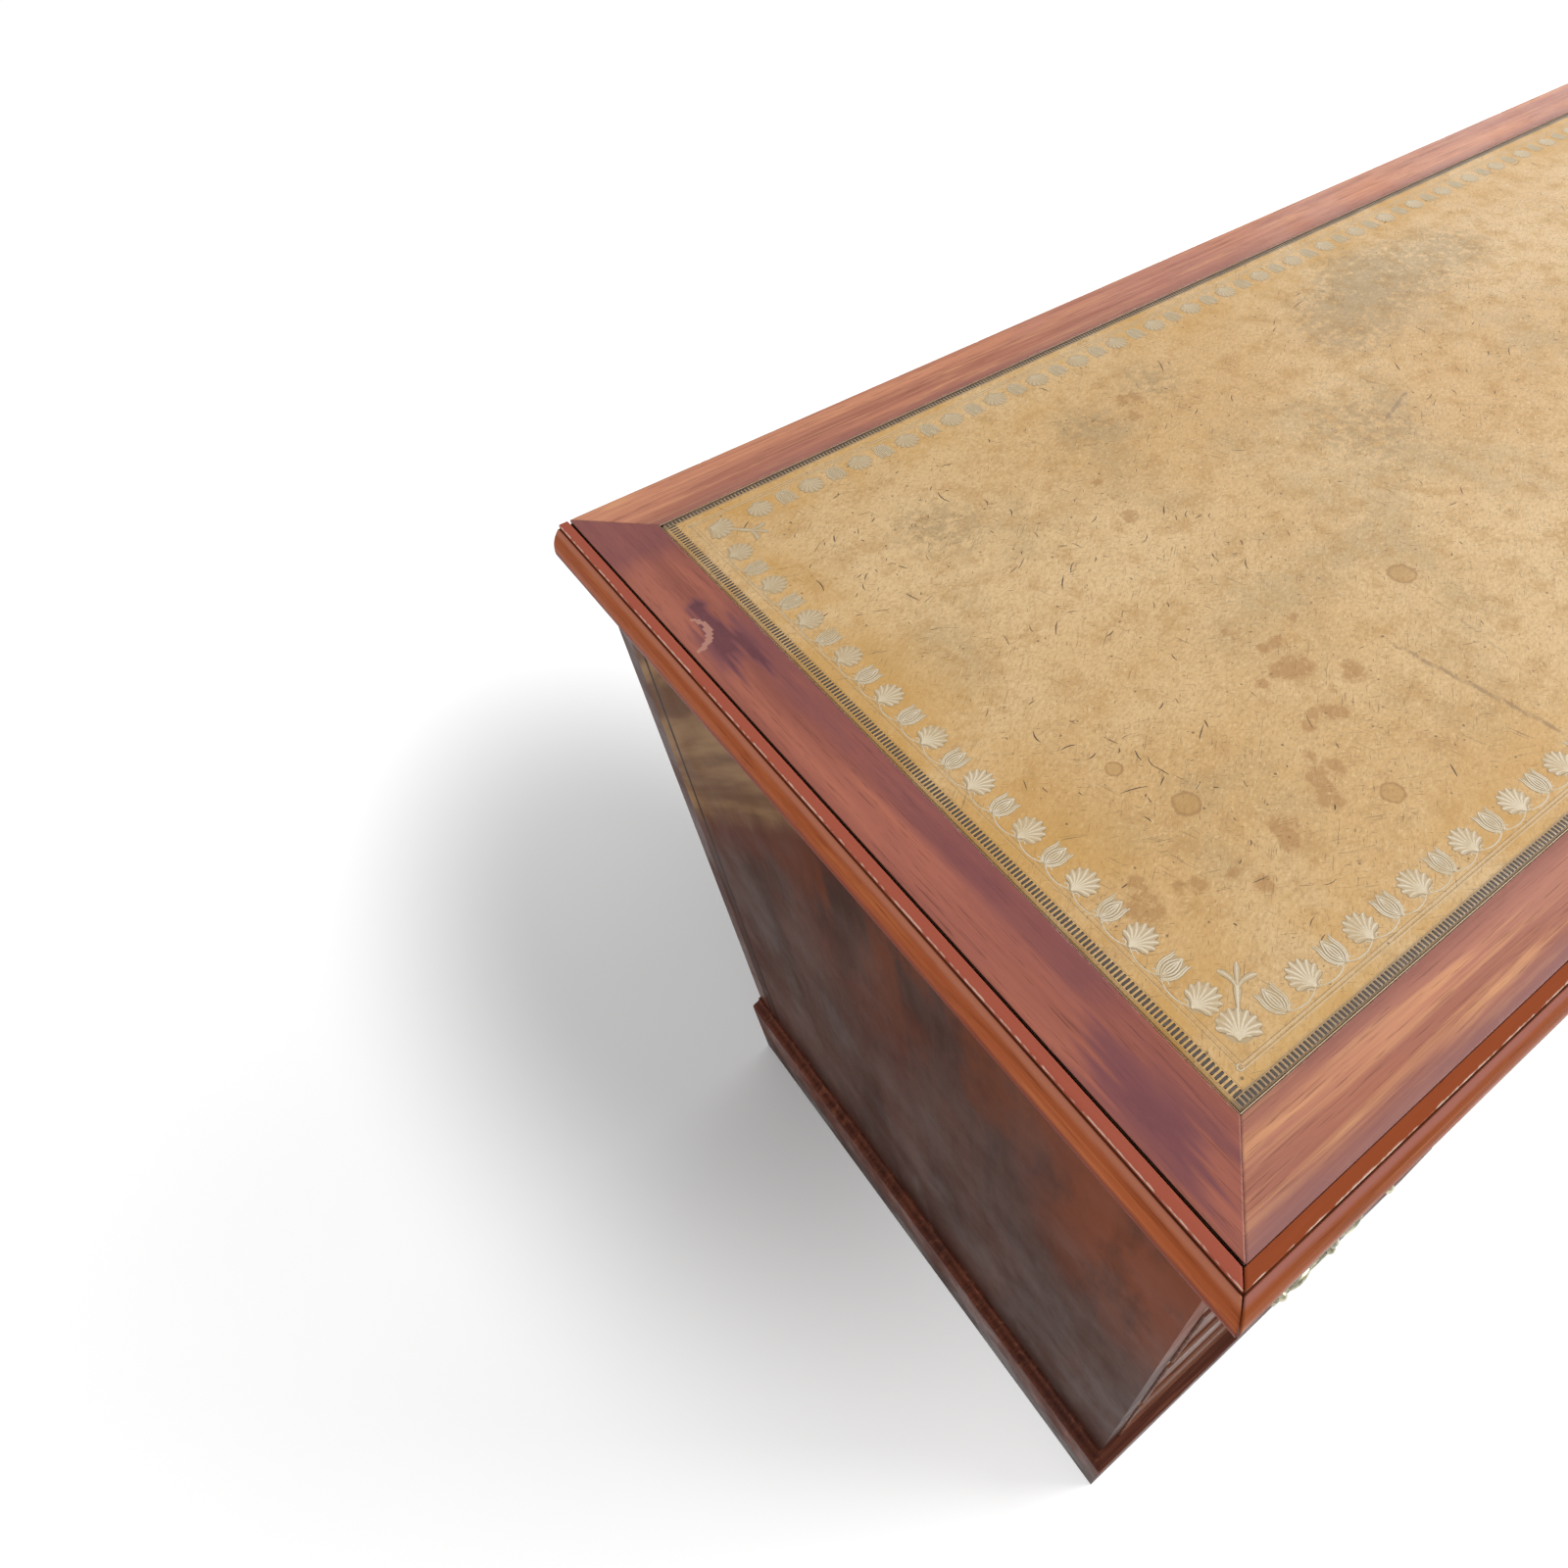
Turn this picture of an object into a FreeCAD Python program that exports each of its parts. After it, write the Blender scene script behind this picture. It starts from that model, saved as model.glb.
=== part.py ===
import FreeCAD, Part
import math
import os

import Sketcher

# Pedestal desk with a leather-lined top, in millimetres.
# +Z is up, +X runs along the top to the right and -Y is the side where the drawers open.
# The origin is on the floor, under the middle of the box that holds the desk.

SIZES = (
    # Top
    ("frame_length", 1486.8, "wooden border, end to end"),
    ("frame_depth", 588.7, "wooden border, front to back"),
    ("board_thickness", 23, "board that carries border and leather"),
    ("crossband_width", 42, "width of each border piece"),
    ("crossband_thickness", 2, "border pieces, laid on the board"),
    ("leather_thickness", 1.6, "leather, let in between the border pieces"),
    # Edge moulding
    ("strip_width", 6.3, "flat part of the moulding beside the opened joint"),
    ("strip_drop", 0.4, "flat part below the face of the border"),
    ("crack_front", 0.5, "opened joint between border and front moulding"),
    ("crack_end", 1.8, "opened joint between border and end mouldings"),
    ("crack_depth", 3, "depth of that opened joint"),
    ("quirk_step", 1.6, "step down from the flat part to the nose"),
    ("nose_width", 8.5, "how far the nose stands out from the flat part"),
    ("nose_drop", 17, "height of the thumb curve"),
    ("nose_round", 4, "rounding under the nose"),
    # Carcase
    ("end_overhang", 20.6, "nose of the top beyond the ends"),
    ("front_overhang", 22, "nose of the top beyond the front rails"),
    ("back_overhang", 2.5, "top beyond the back boards"),
    ("end_thickness", 20, "outer ends"),
    ("inner_thickness", 18, "inner sides of the pedestals"),
    ("back_thickness", 20, "back boards, planted behind the sides"),
    ("rail_thickness", 16, "boards under the drawers and top rails"),
    ("top_rail_width", 60, "top rails, front to back"),
    ("housing_depth", 6, "housings in the upright boards"),
    ("housing_stop", 12, "housings stop this far behind the front edge"),
    ("pedestal_width", 448, "each pedestal, outside"),
    # Plinth
    ("plinth_height", 112, "plinth with its moulded edge"),
    ("plinth_projection", 12, "plinth beyond the pedestal"),
    ("plinth_bead", 5, "rounded lip of the plinth"),
    ("plinth_cove", 4.5, "hollow above the lip"),
    ("plinth_fillet", 1.5, "small square above the hollow"),
    # Drawers
    ("frieze_opening", 126, "height of the frieze drawers' openings"),
    ("upper_opening", 134, "height of the upper pedestal openings"),
    ("middle_opening", 149, "height of the middle pedestal openings"),
    ("lower_opening", 165, "height of the lower pedestal openings"),
    ("drawer_gap", 1, "gap round a drawer front"),
    ("front_thickness", 20, "drawer front without its bead"),
    ("bead_width", 3.2, "cock bead, seen from the front"),
    ("bead_projection", 2, "cock bead beyond the drawer front"),
    ("bead_round", 1.2, "rounding of the cock bead"),
    ("side_thickness", 11, "drawer sides"),
    ("side_clearance", 4, "gap above the drawer sides"),
    ("tail_lap", 6, "wood left in front of the dovetails"),
    ("drawer_back_thickness", 10, "drawer backs"),
    ("drawer_back_drop", 10, "drawer back below the drawer sides"),
    ("drawer_bottom_thickness", 7, "drawer bottoms"),
    ("drawer_bottom_lift", 8, "drawer bottom above the runners"),
    ("groove_depth", 4, "grooves that hold the drawer bottom"),
    # Handles
    ("post_spacing", 64, "between the two posts of a handle"),
    ("handle_rise", 8, "posts above the middle of the drawer front"),
    ("pivot_standoff", 13, "bail pivot in front of the drawer front"),
    ("rose_radius", 9, "rose under each post"),
    ("rose_thickness", 2.2, "rose at its middle"),
    ("rose_edge", 1, "rose at its rim"),
    ("neck_radius", 3.2, "post between rose and ball"),
    ("ball_radius", 5.5, "ball head of the post"),
    ("shank_radius", 2.5, "shank through the drawer front"),
    ("shank_end", 1, "shank beyond its nut"),
    ("nut_radius", 6, "nut inside the drawer, corner to middle"),
    ("nut_thickness", 3, "nut inside the drawer"),
    ("pin_radius", 1.7, "pin of the bail in the post"),
    ("pin_clearance", 0.06, "running clearance round the pin"),
    ("pin_past_middle", 3, "pin beyond the middle of the ball"),
    ("bail_radius", 2.5, "rod of the bail"),
    ("bail_gap", 0.5, "between ball and bail"),
    ("bail_head", 3.4, "bail arm above its pivot"),
    ("bail_straight", 7.6, "straight stretch below the pivot"),
    ("swan_radius", 8, "double curve of the bail's neck"),
    ("swan_turn", 45, "turn of each neck curve, in degrees"),
    ("bail_corner", 9, "bend into the grip"),
    ("grip_radius", 5, "grip of the bail at its thickest"),
    ("grip_half", 19, "from there to where the swelling ends"),
    # Shared
    ("overrun", 5, "how far cuts run past the solid"),
)
TAIL_COUNT = 3
TAIL_ROOT_SHARE = 0.55
TAIL_SLOPE_SHARE = 1 / 6
WIDE_HANDLE_SHARE = 0.57
SIGNS = {"left": -1, "right": 1}

doc = FreeCAD.newDocument("PedestalDesk")
sheet = doc.addObject("Spreadsheet::Sheet", "Sizes")
for row, (alias, number, note) in enumerate(SIZES, start=1):
    sheet.set(f"A{row}", note)
    sheet.set(f"B{row}", str(number))
    sheet.setAlias(f"B{row}", alias)
doc.recompute()


def bound(text):
    """Expression on the sheet: every size's alias in the text is looked up in Sizes."""
    words = {alias for alias, number, note in SIZES}
    parts = []
    word = ""
    for letter in text + " ":
        if letter.isalnum() or letter == "_":
            word += letter
            continue
        parts.append(f"Sizes.{word}" if word in words else word)
        parts.append(letter)
        word = ""
    return "".join(parts).strip()


# Places that several pieces share, as expressions on the sheet
front_projection = "(crack_front + strip_width + nose_width)"
end_projection = "(crack_end + strip_width + nose_width)"
top_half = f"(frame_length / 2 + {end_projection})"
depth_half = f"((frame_depth + {front_projection}) / 2)"
frame_half = "(frame_length / 2)"
frame_front = f"({front_projection} - {depth_half})"
carcase_half = f"({top_half} - end_overhang)"
carcase_front = f"(front_overhang - {depth_half})"
carcase_back = f"({depth_half} - back_overhang)"
back_face = f"({carcase_back} - back_thickness)"
inside_depth = f"({back_face} - {carcase_front})"
lower_floor = "plinth_height"
middle_floor = f"({lower_floor} + lower_opening + rail_thickness)"
upper_floor = f"({middle_floor} + middle_opening + rail_thickness)"
frieze_floor = f"({upper_floor} + upper_opening + rail_thickness)"
top_rail_floor = f"({frieze_floor} + frieze_opening)"
board_floor = f"({top_rail_floor} + rail_thickness)"
board_top = f"({board_floor} + board_thickness)"
pedestal_inside = "(pedestal_width - end_thickness - inner_thickness)"
pedestal_middle = f"({carcase_half} - end_thickness - {pedestal_inside} / 2)"
kneehole_half = f"({carcase_half} - pedestal_width)"


def value(text):
    """The number that an expression gives with the sheet's present sizes."""
    return float(sheet.evalExpression(bound(text)))


def place(piece, x="0", y="0", z="0"):
    """Bind a piece's place to the sheet."""
    for axis, text in zip("xyz", (x, y, z)):
        piece.setExpression(f".Placement.Base.{axis}", bound(text))
    return piece


def board(label, length, width, height, x, y, z):
    """A plain board: x, y, z is its corner with the lowest coordinates."""
    piece = doc.addObject("Part::Box", label)
    piece.setExpression("Length", bound(length))
    piece.setExpression("Width", bound(width))
    piece.setExpression("Height", bound(height))
    return place(piece, x, y, z)


def group(label, pieces):
    """Several separate solids under one name."""
    compound = doc.addObject("Part::Compound", label)
    compound.Links = pieces
    return compound


def sketch_on(body, name, role, lift="0"):
    """An empty sketch on one of the body's own origin planes, lifted along the plane's normal."""
    sketch = body.newObject("Sketcher::SketchObject", name)
    plane = [item for item in body.Origin.OriginFeatures if item.Role == role][0]
    sketch.AttachmentSupport = [(plane, "")]
    sketch.MapMode = "FlatFace"
    if lift != "0":
        sketch.setExpression(".AttachmentOffset.Base.z", bound(lift))
    return sketch


def pin_down(sketch, item, end, x, y):
    """Fix one end of a sketched line or arc at a place given by expressions."""
    for kind, axis, text in (("DistanceX", -2, x), ("DistanceY", -1, y)):
        if text == "0":
            sketch.addConstraint(Sketcher.Constraint("PointOnObject", item, end, axis))
            continue
        index = sketch.addConstraint(Sketcher.Constraint(kind, -1, 1, item, end, value(text)))
        sketch.setExpression(f"Constraints[{index}]", bound(text))


def arc_between(start, end, radius, side):
    """The shorter arc from start to end; side is 1 if it bulges to the right of the way there."""
    way = end - start
    half = way.Length / 2
    rise = math.sqrt(max(radius * radius - half * half, 0))
    across = FreeCAD.Vector(-way.y, way.x, 0).normalize()
    middle = start + way * 0.5 + across * (side * rise)
    angles = [math.atan2(point.y - middle.y, point.x - middle.x) for point in (start, end)]
    if side < 0:
        angles.reverse()
    return Part.ArcOfCircle(Part.Circle(middle, FreeCAD.Vector(0, 0, 1), radius), *angles)


def draw(sketch, corners, arcs=None, closed=True):
    """Draw an outline. Corners are pairs of expressions; arcs maps a corner's number to the
    radius and side of the arc that leaves it, and every other stretch is straight."""
    arcs = arcs or {}
    points = [FreeCAD.Vector(value(x), value(y), 0) for x, y in corners]
    count = len(points) if closed else len(points) - 1
    ends = []
    for number in range(count):
        after = (number + 1) % len(points)
        if number not in arcs:
            item = sketch.addGeometry(Part.LineSegment(points[number], points[after]))
            ends.append((item, 1, 2))
            continue
        radius, side = arcs[number]
        item = sketch.addGeometry(arc_between(points[number], points[after], value(radius), side))
        ends.append((item, 1, 2) if side > 0 else (item, 2, 1))
        index = sketch.addConstraint(Sketcher.Constraint("Radius", item, value(radius)))
        sketch.setExpression(f"Constraints[{index}]", bound(radius))
    for number, (item, start_end, finish_end) in enumerate(ends):
        pin_down(sketch, item, start_end, *corners[number])
        if closed or number + 1 < count:
            following = ends[(number + 1) % len(ends)]
            sketch.addConstraint(Sketcher.Constraint("Coincident", item, finish_end, *following[:2]))
        else:
            pin_down(sketch, item, finish_end, *corners[number + 1])
    return sketch


def rectangle(sketch, x_low, y_low, x_high, y_high):
    """A rectangle from its low corner to its high corner."""
    return draw(sketch, [(x_low, y_low), (x_high, y_low), (x_high, y_high), (x_low, y_high)])


def circle(sketch, x, y, radius):
    """A circle with its middle and radius bound to the sheet."""
    middle = FreeCAD.Vector(value(x), value(y), 0)
    item = sketch.addGeometry(Part.Circle(middle, FreeCAD.Vector(0, 0, 1), value(radius)))
    index = sketch.addConstraint(Sketcher.Constraint("Radius", item, value(radius)))
    sketch.setExpression(f"Constraints[{index}]", bound(radius))
    pin_down(sketch, item, 3, x, y)
    return sketch


def pad(body, sketch, length, backwards=False, both_ways=False):
    """Push a sketch out into a solid."""
    feature = body.newObject("PartDesign::Pad", f"{sketch.Name}_pad")
    feature.Profile = sketch
    feature.Reversed = backwards
    feature.SideType = "Symmetric" if both_ways else "One side"
    feature.setExpression("Length", bound(length))
    return feature


def pocket(body, sketch, length="0", backwards=False, through=False):
    """Cut a sketch out of the solid, to a depth or right through both ways."""
    feature = body.newObject("PartDesign::Pocket", f"{sketch.Name}_pocket")
    feature.Profile = sketch
    feature.Reversed = backwards
    if through:
        feature.Type = "ThroughAll"
        feature.SideType = "Symmetric"
    else:
        feature.setExpression("Length", bound(length))
    return feature


def mirrored(body, features):
    """The same features again on the other side of the body's YZ plane."""
    feature = body.newObject("PartDesign::Mirrored", f"{features[0].Name}_mirrored")
    feature.Originals = features
    plane = [item for item in body.Origin.OriginFeatures if item.Role == "YZ_Plane"][0]
    feature.MirrorPlane = (plane, [""])
    body.Tip = feature
    return feature


def new_body(label):
    return doc.addObject("PartDesign::Body", label)


def tongued_board(label, half, edge, shoulder, tongue, thickness):
    """Level board from its front edge to the back boards. Behind the shoulder both its sides reach
    out by the tongue, into grooves."""
    body = new_body(label)
    wide = f"({half} + {tongue})"
    outline = sketch_on(body, f"{label}_outline", "XY_Plane")
    draw(outline, [(f"-{half}", edge), (half, edge), (half, shoulder), (wide, shoulder),
                   (wide, inside_depth), (f"-{wide}", inside_depth), (f"-{wide}", shoulder),
                   (f"-{half}", shoulder)])
    pad(body, outline, thickness)
    return body


# Top: board, mitred border, leather and edge moulding

def make_top():
    front = frame_front
    back = depth_half
    width = "crossband_width"
    pieces = [board("top_board", "frame_length", "frame_depth", "board_thickness",
                    f"-{frame_half}", front, board_floor)]
    pieces.append(board("leather_inset", f"frame_length - 2 * {width}", f"frame_depth - 2 * {width}",
                        "leather_thickness", f"{width} - {frame_half}", f"{front} + {width}", board_top))
    outer_x = (f"-{frame_half}", frame_half)
    inner_x = (f"{width} - {frame_half}", f"{frame_half} - {width}")
    inner_front = f"{front} + {width}"
    inner_back = f"{back} - {width}"
    outlines = {
        "crossband_front": [(outer_x[0], front), (outer_x[1], front),
                            (inner_x[1], inner_front), (inner_x[0], inner_front)],
        "crossband_back": [(outer_x[1], back), (outer_x[0], back),
                           (inner_x[0], inner_back), (inner_x[1], inner_back)],
        "crossband_left": [(outer_x[0], back), (outer_x[0], front),
                           (inner_x[0], inner_front), (inner_x[0], inner_back)],
        "crossband_right": [(outer_x[1], front), (outer_x[1], back),
                            (inner_x[1], inner_back), (inner_x[1], inner_front)],
    }
    for label, corners in outlines.items():
        body = new_body(label)
        sketch = draw(sketch_on(body, f"{label}_outline", "XY_Plane"), corners)
        pad(body, sketch, "crossband_thickness")
        pieces.append(place(body, z=board_top))
    return pieces


def moulding_outline(crack, out):
    """Corners of the edge moulding and the radius of its thumb curve. Its foot starts at the frame's
    edge and its flat part beyond the opened joint; out turns a distance from that edge into the
    sketch's first coordinate."""
    face = "(crossband_thickness - strip_drop)"
    quirk = f"({face} - quirk_step)"
    nose = f"({quirk} - nose_drop)"
    under = f"({nose} - nose_round)"
    corners = [
        (out("0"), under),
        (out(f"{crack} + strip_width + nose_width - nose_round"), under),
        (out(f"{crack} + strip_width + nose_width"), nose),
        (out(f"{crack} + strip_width"), quirk),
        (out(f"{crack} + strip_width"), face),
        (out(crack), face),
        (out(crack), f"{face} - crack_depth"),
        (out("0"), f"{face} - crack_depth"),
    ]
    thumb = "(nose_width * nose_width + nose_drop * nose_drop) / (2 * nose_width)"
    return corners, thumb


def make_edge_mouldings():
    """Front and end mouldings of one section, mitred where their flat parts meet."""
    reach = f"({end_projection} + overrun)"
    mitre_start = f"({frame_half} + crack_end - crack_front)"
    pieces = []

    body = new_body("edge_moulding_front")
    corners, thumb = moulding_outline("crack_front", lambda text: f"{frame_front} - ({text})")
    arcs = {1: ("nose_round", -1), 2: (thumb, -1)}
    profile = draw(sketch_on(body, "front_moulding_profile", "YZ_Plane"), corners, arcs)
    pad(body, profile, f"2 * {top_half}", both_ways=True)
    for side, sign in SIGNS.items():
        mitre = sketch_on(body, f"front_mitre_{side}", "XY_Plane")
        draw(mitre, [(f"{sign} * {mitre_start}", frame_front),
                     (f"{sign} * ({mitre_start} + {reach})", f"{frame_front} - {reach}"),
                     (f"{sign} * ({mitre_start} + {reach})", frame_front)])
        pocket(body, mitre, through=True)
    pieces.append(place(body, z=board_top))

    for side, sign in SIGNS.items():
        body = new_body(f"edge_moulding_{side}")
        corners, thumb = moulding_outline("crack_end", lambda text: f"{sign} * ({frame_half} + {text})")
        arcs = {1: ("nose_round", sign), 2: (thumb, sign)}
        profile = sketch_on(body, f"{side}_moulding_profile", "XZ_Plane", f"-{depth_half}")
        draw(profile, corners, arcs)
        pad(body, profile, f"2 * {depth_half}")
        mitre = sketch_on(body, f"end_mitre_{side}", "XY_Plane")
        draw(mitre, [(f"{sign} * ({mitre_start} - {reach})", f"{frame_front} + {reach}"),
                     (f"{sign} * ({mitre_start} + {reach})", f"{frame_front} - {reach}"),
                     (f"{sign} * ({mitre_start} - {reach})", f"{frame_front} - {reach}")])
        pocket(body, mitre, through=True)
        pieces.append(place(body, z=board_top))
    return pieces


# Carcase: ends, inner sides, backs, rails and the boards that the drawers run on

def housed_side(label, face, way, thickness, height, floors):
    """Upright board with a stopped housing for each board under a drawer. face is where its housed
    side lies, and way is the direction in X from there into the wood."""
    body = new_body(label)
    outline = sketch_on(body, f"{label}_outline", "YZ_Plane", face)
    rectangle(outline, carcase_front, "0", back_face, height)
    pad(body, outline, thickness, backwards=way < 0)
    housings = sketch_on(body, f"{label}_housings", "YZ_Plane", face)
    for floor in floors:
        rectangle(housings, f"{carcase_front} + housing_stop", f"{floor} - rail_thickness", back_face, floor)
    pocket(body, housings, "housing_depth", backwards=way > 0)
    return body


def make_carcase():
    rail = "rail_thickness"
    floors = (lower_floor, middle_floor, upper_floor, frieze_floor)
    pieces = []
    for side, sign in SIGNS.items():
        pieces.append(housed_side(f"end_{side}", f"{sign} * ({carcase_half} - end_thickness)", sign,
                                  "end_thickness", board_floor, floors))
        pieces.append(housed_side(f"inner_side_{side}", f"{sign} * ({kneehole_half} + inner_thickness)", -sign,
                                  "inner_thickness", top_rail_floor, floors))
        planted = f"-{carcase_half}" if sign < 0 else kneehole_half
        pieces.append(board(f"back_{side}", "pedestal_width", "back_thickness", board_floor,
                            planted, back_face, "0"))
        boards = []
        for number, floor in enumerate(floors, start=1):
            shelf = tongued_board(f"dustboard_{side}_{number}", f"({pedestal_inside} / 2)", "0",
                                  "housing_stop", "housing_depth", rail)
            boards.append(place(shelf, f"{sign} * {pedestal_middle}", carcase_front, f"{floor} - {rail}"))
        pieces.append(group(f"dustboards_{side}", boards))
    pieces.append(board("back_frieze", f"2 * {kneehole_half}", "back_thickness",
                        f"{board_floor} - {frieze_floor} + {rail}",
                        f"-{kneehole_half}", back_face, f"{frieze_floor} - {rail}"))
    pieces.append(board("kneehole_board", f"2 * {kneehole_half}", inside_depth, rail,
                        f"-{kneehole_half}", carcase_front, f"{frieze_floor} - {rail}"))
    rails = []
    for name, y in (("front", carcase_front), ("back", f"{back_face} - top_rail_width")):
        rails.append(board(f"top_rail_{name}", f"2 * ({carcase_half} - end_thickness)", "top_rail_width",
                           rail, f"end_thickness - {carcase_half}", y, top_rail_floor))
    pieces.append(group("top_rails", rails))
    return pieces


# Plinth: mitred boards with a lip and a hollow along the upper edge

def plinth_outline(out):
    """Corners of the plinth board. out turns a distance from the pedestal's face into the
    sketch's first coordinate."""
    step = "(plinth_height - plinth_fillet)"
    hollow = f"({step} - plinth_cove)"
    lip = f"({hollow} - plinth_bead)"
    corners = [
        (out("0"), "0"),
        (out("plinth_projection"), "0"),
        (out("plinth_projection"), lip),
        (out("plinth_projection - plinth_bead"), hollow),
        (out("plinth_projection - plinth_bead - plinth_cove"), step),
        (out("plinth_projection - plinth_bead - plinth_cove"), "plinth_height"),
        (out("0"), "plinth_height"),
    ]
    return corners


def make_plinths():
    reach = "(plinth_projection + overrun)"
    groups = []
    for side, sign in SIGNS.items():
        faces = {
            "outer": (sign, f"{sign} * {carcase_half}"),
            "inner": (-sign, f"{sign} * {kneehole_half}"),
        }
        pieces = []
        body = new_body(f"plinth_{side}_front")
        corners = plinth_outline(lambda text: f"{carcase_front} - ({text})")
        arcs = {2: ("plinth_bead", -1), 3: ("plinth_cove", 1)}
        middle = f"{sign} * ({carcase_half} + {kneehole_half}) / 2"
        profile = sketch_on(body, f"plinth_{side}_front_profile", "YZ_Plane", middle)
        draw(profile, corners, arcs)
        pad(body, profile, "pedestal_width + 2 * plinth_projection", both_ways=True)
        for name, (way, face) in faces.items():
            mitre = sketch_on(body, f"plinth_{side}_front_mitre_{name}", "XY_Plane")
            draw(mitre, [(face, carcase_front),
                         (f"{face} + {way} * {reach}", f"{carcase_front} - {reach}"),
                         (f"{face} + {way} * {reach}", carcase_front)])
            pocket(body, mitre, through=True)
        pieces.append(body)
        for name, (way, face) in faces.items():
            body = new_body(f"plinth_{side}_{name}")
            corners = plinth_outline(lambda text: f"{face} + {way} * ({text})")
            arcs = {2: ("plinth_bead", way), 3: ("plinth_cove", -way)}
            profile = sketch_on(body, f"plinth_{side}_{name}_profile", "XZ_Plane", f"-{carcase_back}")
            draw(profile, corners, arcs)
            pad(body, profile, f"{carcase_back} - {carcase_front} + plinth_projection")
            mitre = sketch_on(body, f"plinth_{side}_{name}_mitre", "XY_Plane")
            draw(mitre, [(face, carcase_front),
                         (f"{face} + {way} * {reach}", f"{carcase_front} - {reach}"),
                         (f"{face} - {way} * {reach}", f"{carcase_front} - {reach}"),
                         (f"{face} - {way} * {reach}", carcase_front)])
            pocket(body, mitre, through=True)
            pieces.append(body)
        groups.append(group(f"plinth_{side}", pieces))
    return groups


# Drawers: dovetailed boxes with cock-beaded fronts

def tail_corners(number, height):
    """Root and end corners of one dovetail, counted from below, on the face of a drawer side.
    The first coordinate runs to the back from the drawer's front face."""
    pitch = f"({height} / {TAIL_COUNT})"
    middle = f"(({number} + 0.5) * {pitch})"
    root_half = f"({TAIL_ROOT_SHARE} * {pitch} / 2)"
    flare = f"((front_thickness - tail_lap) * {TAIL_SLOPE_SHARE})"
    return [
        ("front_thickness", f"{middle} - {root_half}"),
        ("tail_lap", f"{middle} - {root_half} - {flare}"),
        ("tail_lap", f"{middle} + {root_half} + {flare}"),
        ("front_thickness", f"{middle} + {root_half}"),
    ]


def make_front(key, opening_width, opening_height, handles):
    """Drawer front with its cock bead, dovetail sockets, groove for the bottom and holes for the
    handles' shanks."""
    body = new_body(f"front_{key}")
    half = f"({opening_width} / 2 - drawer_gap)"
    low = "drawer_gap"
    high = f"({opening_height} - drawer_gap)"
    outline = sketch_on(body, f"front_{key}_outline", "XZ_Plane")
    rectangle(outline, f"-{half}", low, half, high)
    pad(body, outline, "front_thickness", backwards=True)

    bead = sketch_on(body, f"front_{key}_bead", "XZ_Plane")
    rectangle(bead, f"-{half}", low, half, high)
    rectangle(bead, f"bead_width - {half}", f"{low} + bead_width",
              f"{half} - bead_width", f"{high} - bead_width")
    pad(body, bead, "bead_projection")

    sockets = sketch_on(body, f"front_{key}_sockets", "YZ_Plane", f"-{half}")
    for number in range(TAIL_COUNT):
        draw(sockets, tail_corners(number, f"({opening_height} - side_clearance)"))
    cut = pocket(body, sockets, "side_thickness", backwards=True)
    mirrored(body, [cut])

    groove = sketch_on(body, f"front_{key}_groove", "XZ_Plane", "-front_thickness")
    rectangle(groove, f"side_thickness - {half}", "drawer_bottom_lift",
              f"{half} - side_thickness", "drawer_bottom_lift + drawer_bottom_thickness")
    pocket(body, groove, "groove_depth", backwards=True)

    holes = sketch_on(body, f"front_{key}_holes", "XZ_Plane")
    for middle in handles:
        for sign in SIGNS.values():
            circle(holes, f"{middle} + {sign} * post_spacing / 2", handle_height(opening_height),
                   "shank_radius")
    pocket(body, holes, through=True)

    doc.recompute()
    square = body.Tip
    crest = -value("bead_projection")
    near = value("bead_round") / 100
    names = []
    for number, edge in enumerate(square.Shape.Edges, start=1):
        if all(abs(vertex.Point.y - crest) < near for vertex in edge.Vertexes):
            names.append(f"Edge{number}")
    rounding = body.newObject("PartDesign::Fillet", f"front_{key}_rounding")
    rounding.Base = (square, names)
    rounding.setExpression("Radius", bound("bead_round"))
    return body


def make_box(key, opening_width, opening_height, x, z):
    """Two dovetailed sides, a back, and a bottom let into grooves in the sides and the front."""
    half = f"({opening_width} / 2 - drawer_gap)"
    height = f"({opening_height} - side_clearance)"
    inside = f"(2 * ({half} - side_thickness))"
    pieces = []
    for side, sign in SIGNS.items():
        body = new_body(f"side_{key}_{side}")
        corners = [("front_thickness", "0"), (inside_depth, "0"),
                   (inside_depth, height), ("front_thickness", height)]
        for number in reversed(range(TAIL_COUNT)):
            corners += reversed(tail_corners(number, height))
        face = f"{sign} * {half}"
        outline = draw(sketch_on(body, f"side_{key}_{side}_outline", "YZ_Plane", face), corners)
        pad(body, outline, "side_thickness", backwards=sign > 0)
        groove = sketch_on(body, f"side_{key}_{side}_groove", "YZ_Plane", f"{sign} * {inside} / 2")
        rectangle(groove, "front_thickness", "drawer_bottom_lift",
                  inside_depth, "drawer_bottom_lift + drawer_bottom_thickness")
        pocket(body, groove, "groove_depth", backwards=sign > 0)
        pieces.append(place(body, x, carcase_front, z))
    pieces.append(board(f"back_board_{key}", inside, "drawer_back_thickness",
                        f"{height} - drawer_back_drop - drawer_bottom_lift - drawer_bottom_thickness",
                        f"{x} - {inside} / 2", f"{back_face} - drawer_back_thickness",
                        f"{z} + drawer_bottom_lift + drawer_bottom_thickness"))
    bottom = tongued_board(f"bottom_board_{key}", f"({inside} / 2)", "front_thickness - groove_depth",
                           "front_thickness", "groove_depth", "drawer_bottom_thickness")
    pieces.append(place(bottom, x, carcase_front, f"{z} + drawer_bottom_lift"))
    return group(f"box_{key}", pieces)


# Handles: turned posts through the drawer front, and a swan-neck bail between them

def handle_height(opening_height):
    """Height of the posts above the floor of the drawer's opening."""
    return f"({opening_height} / 2 + handle_rise)"


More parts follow.
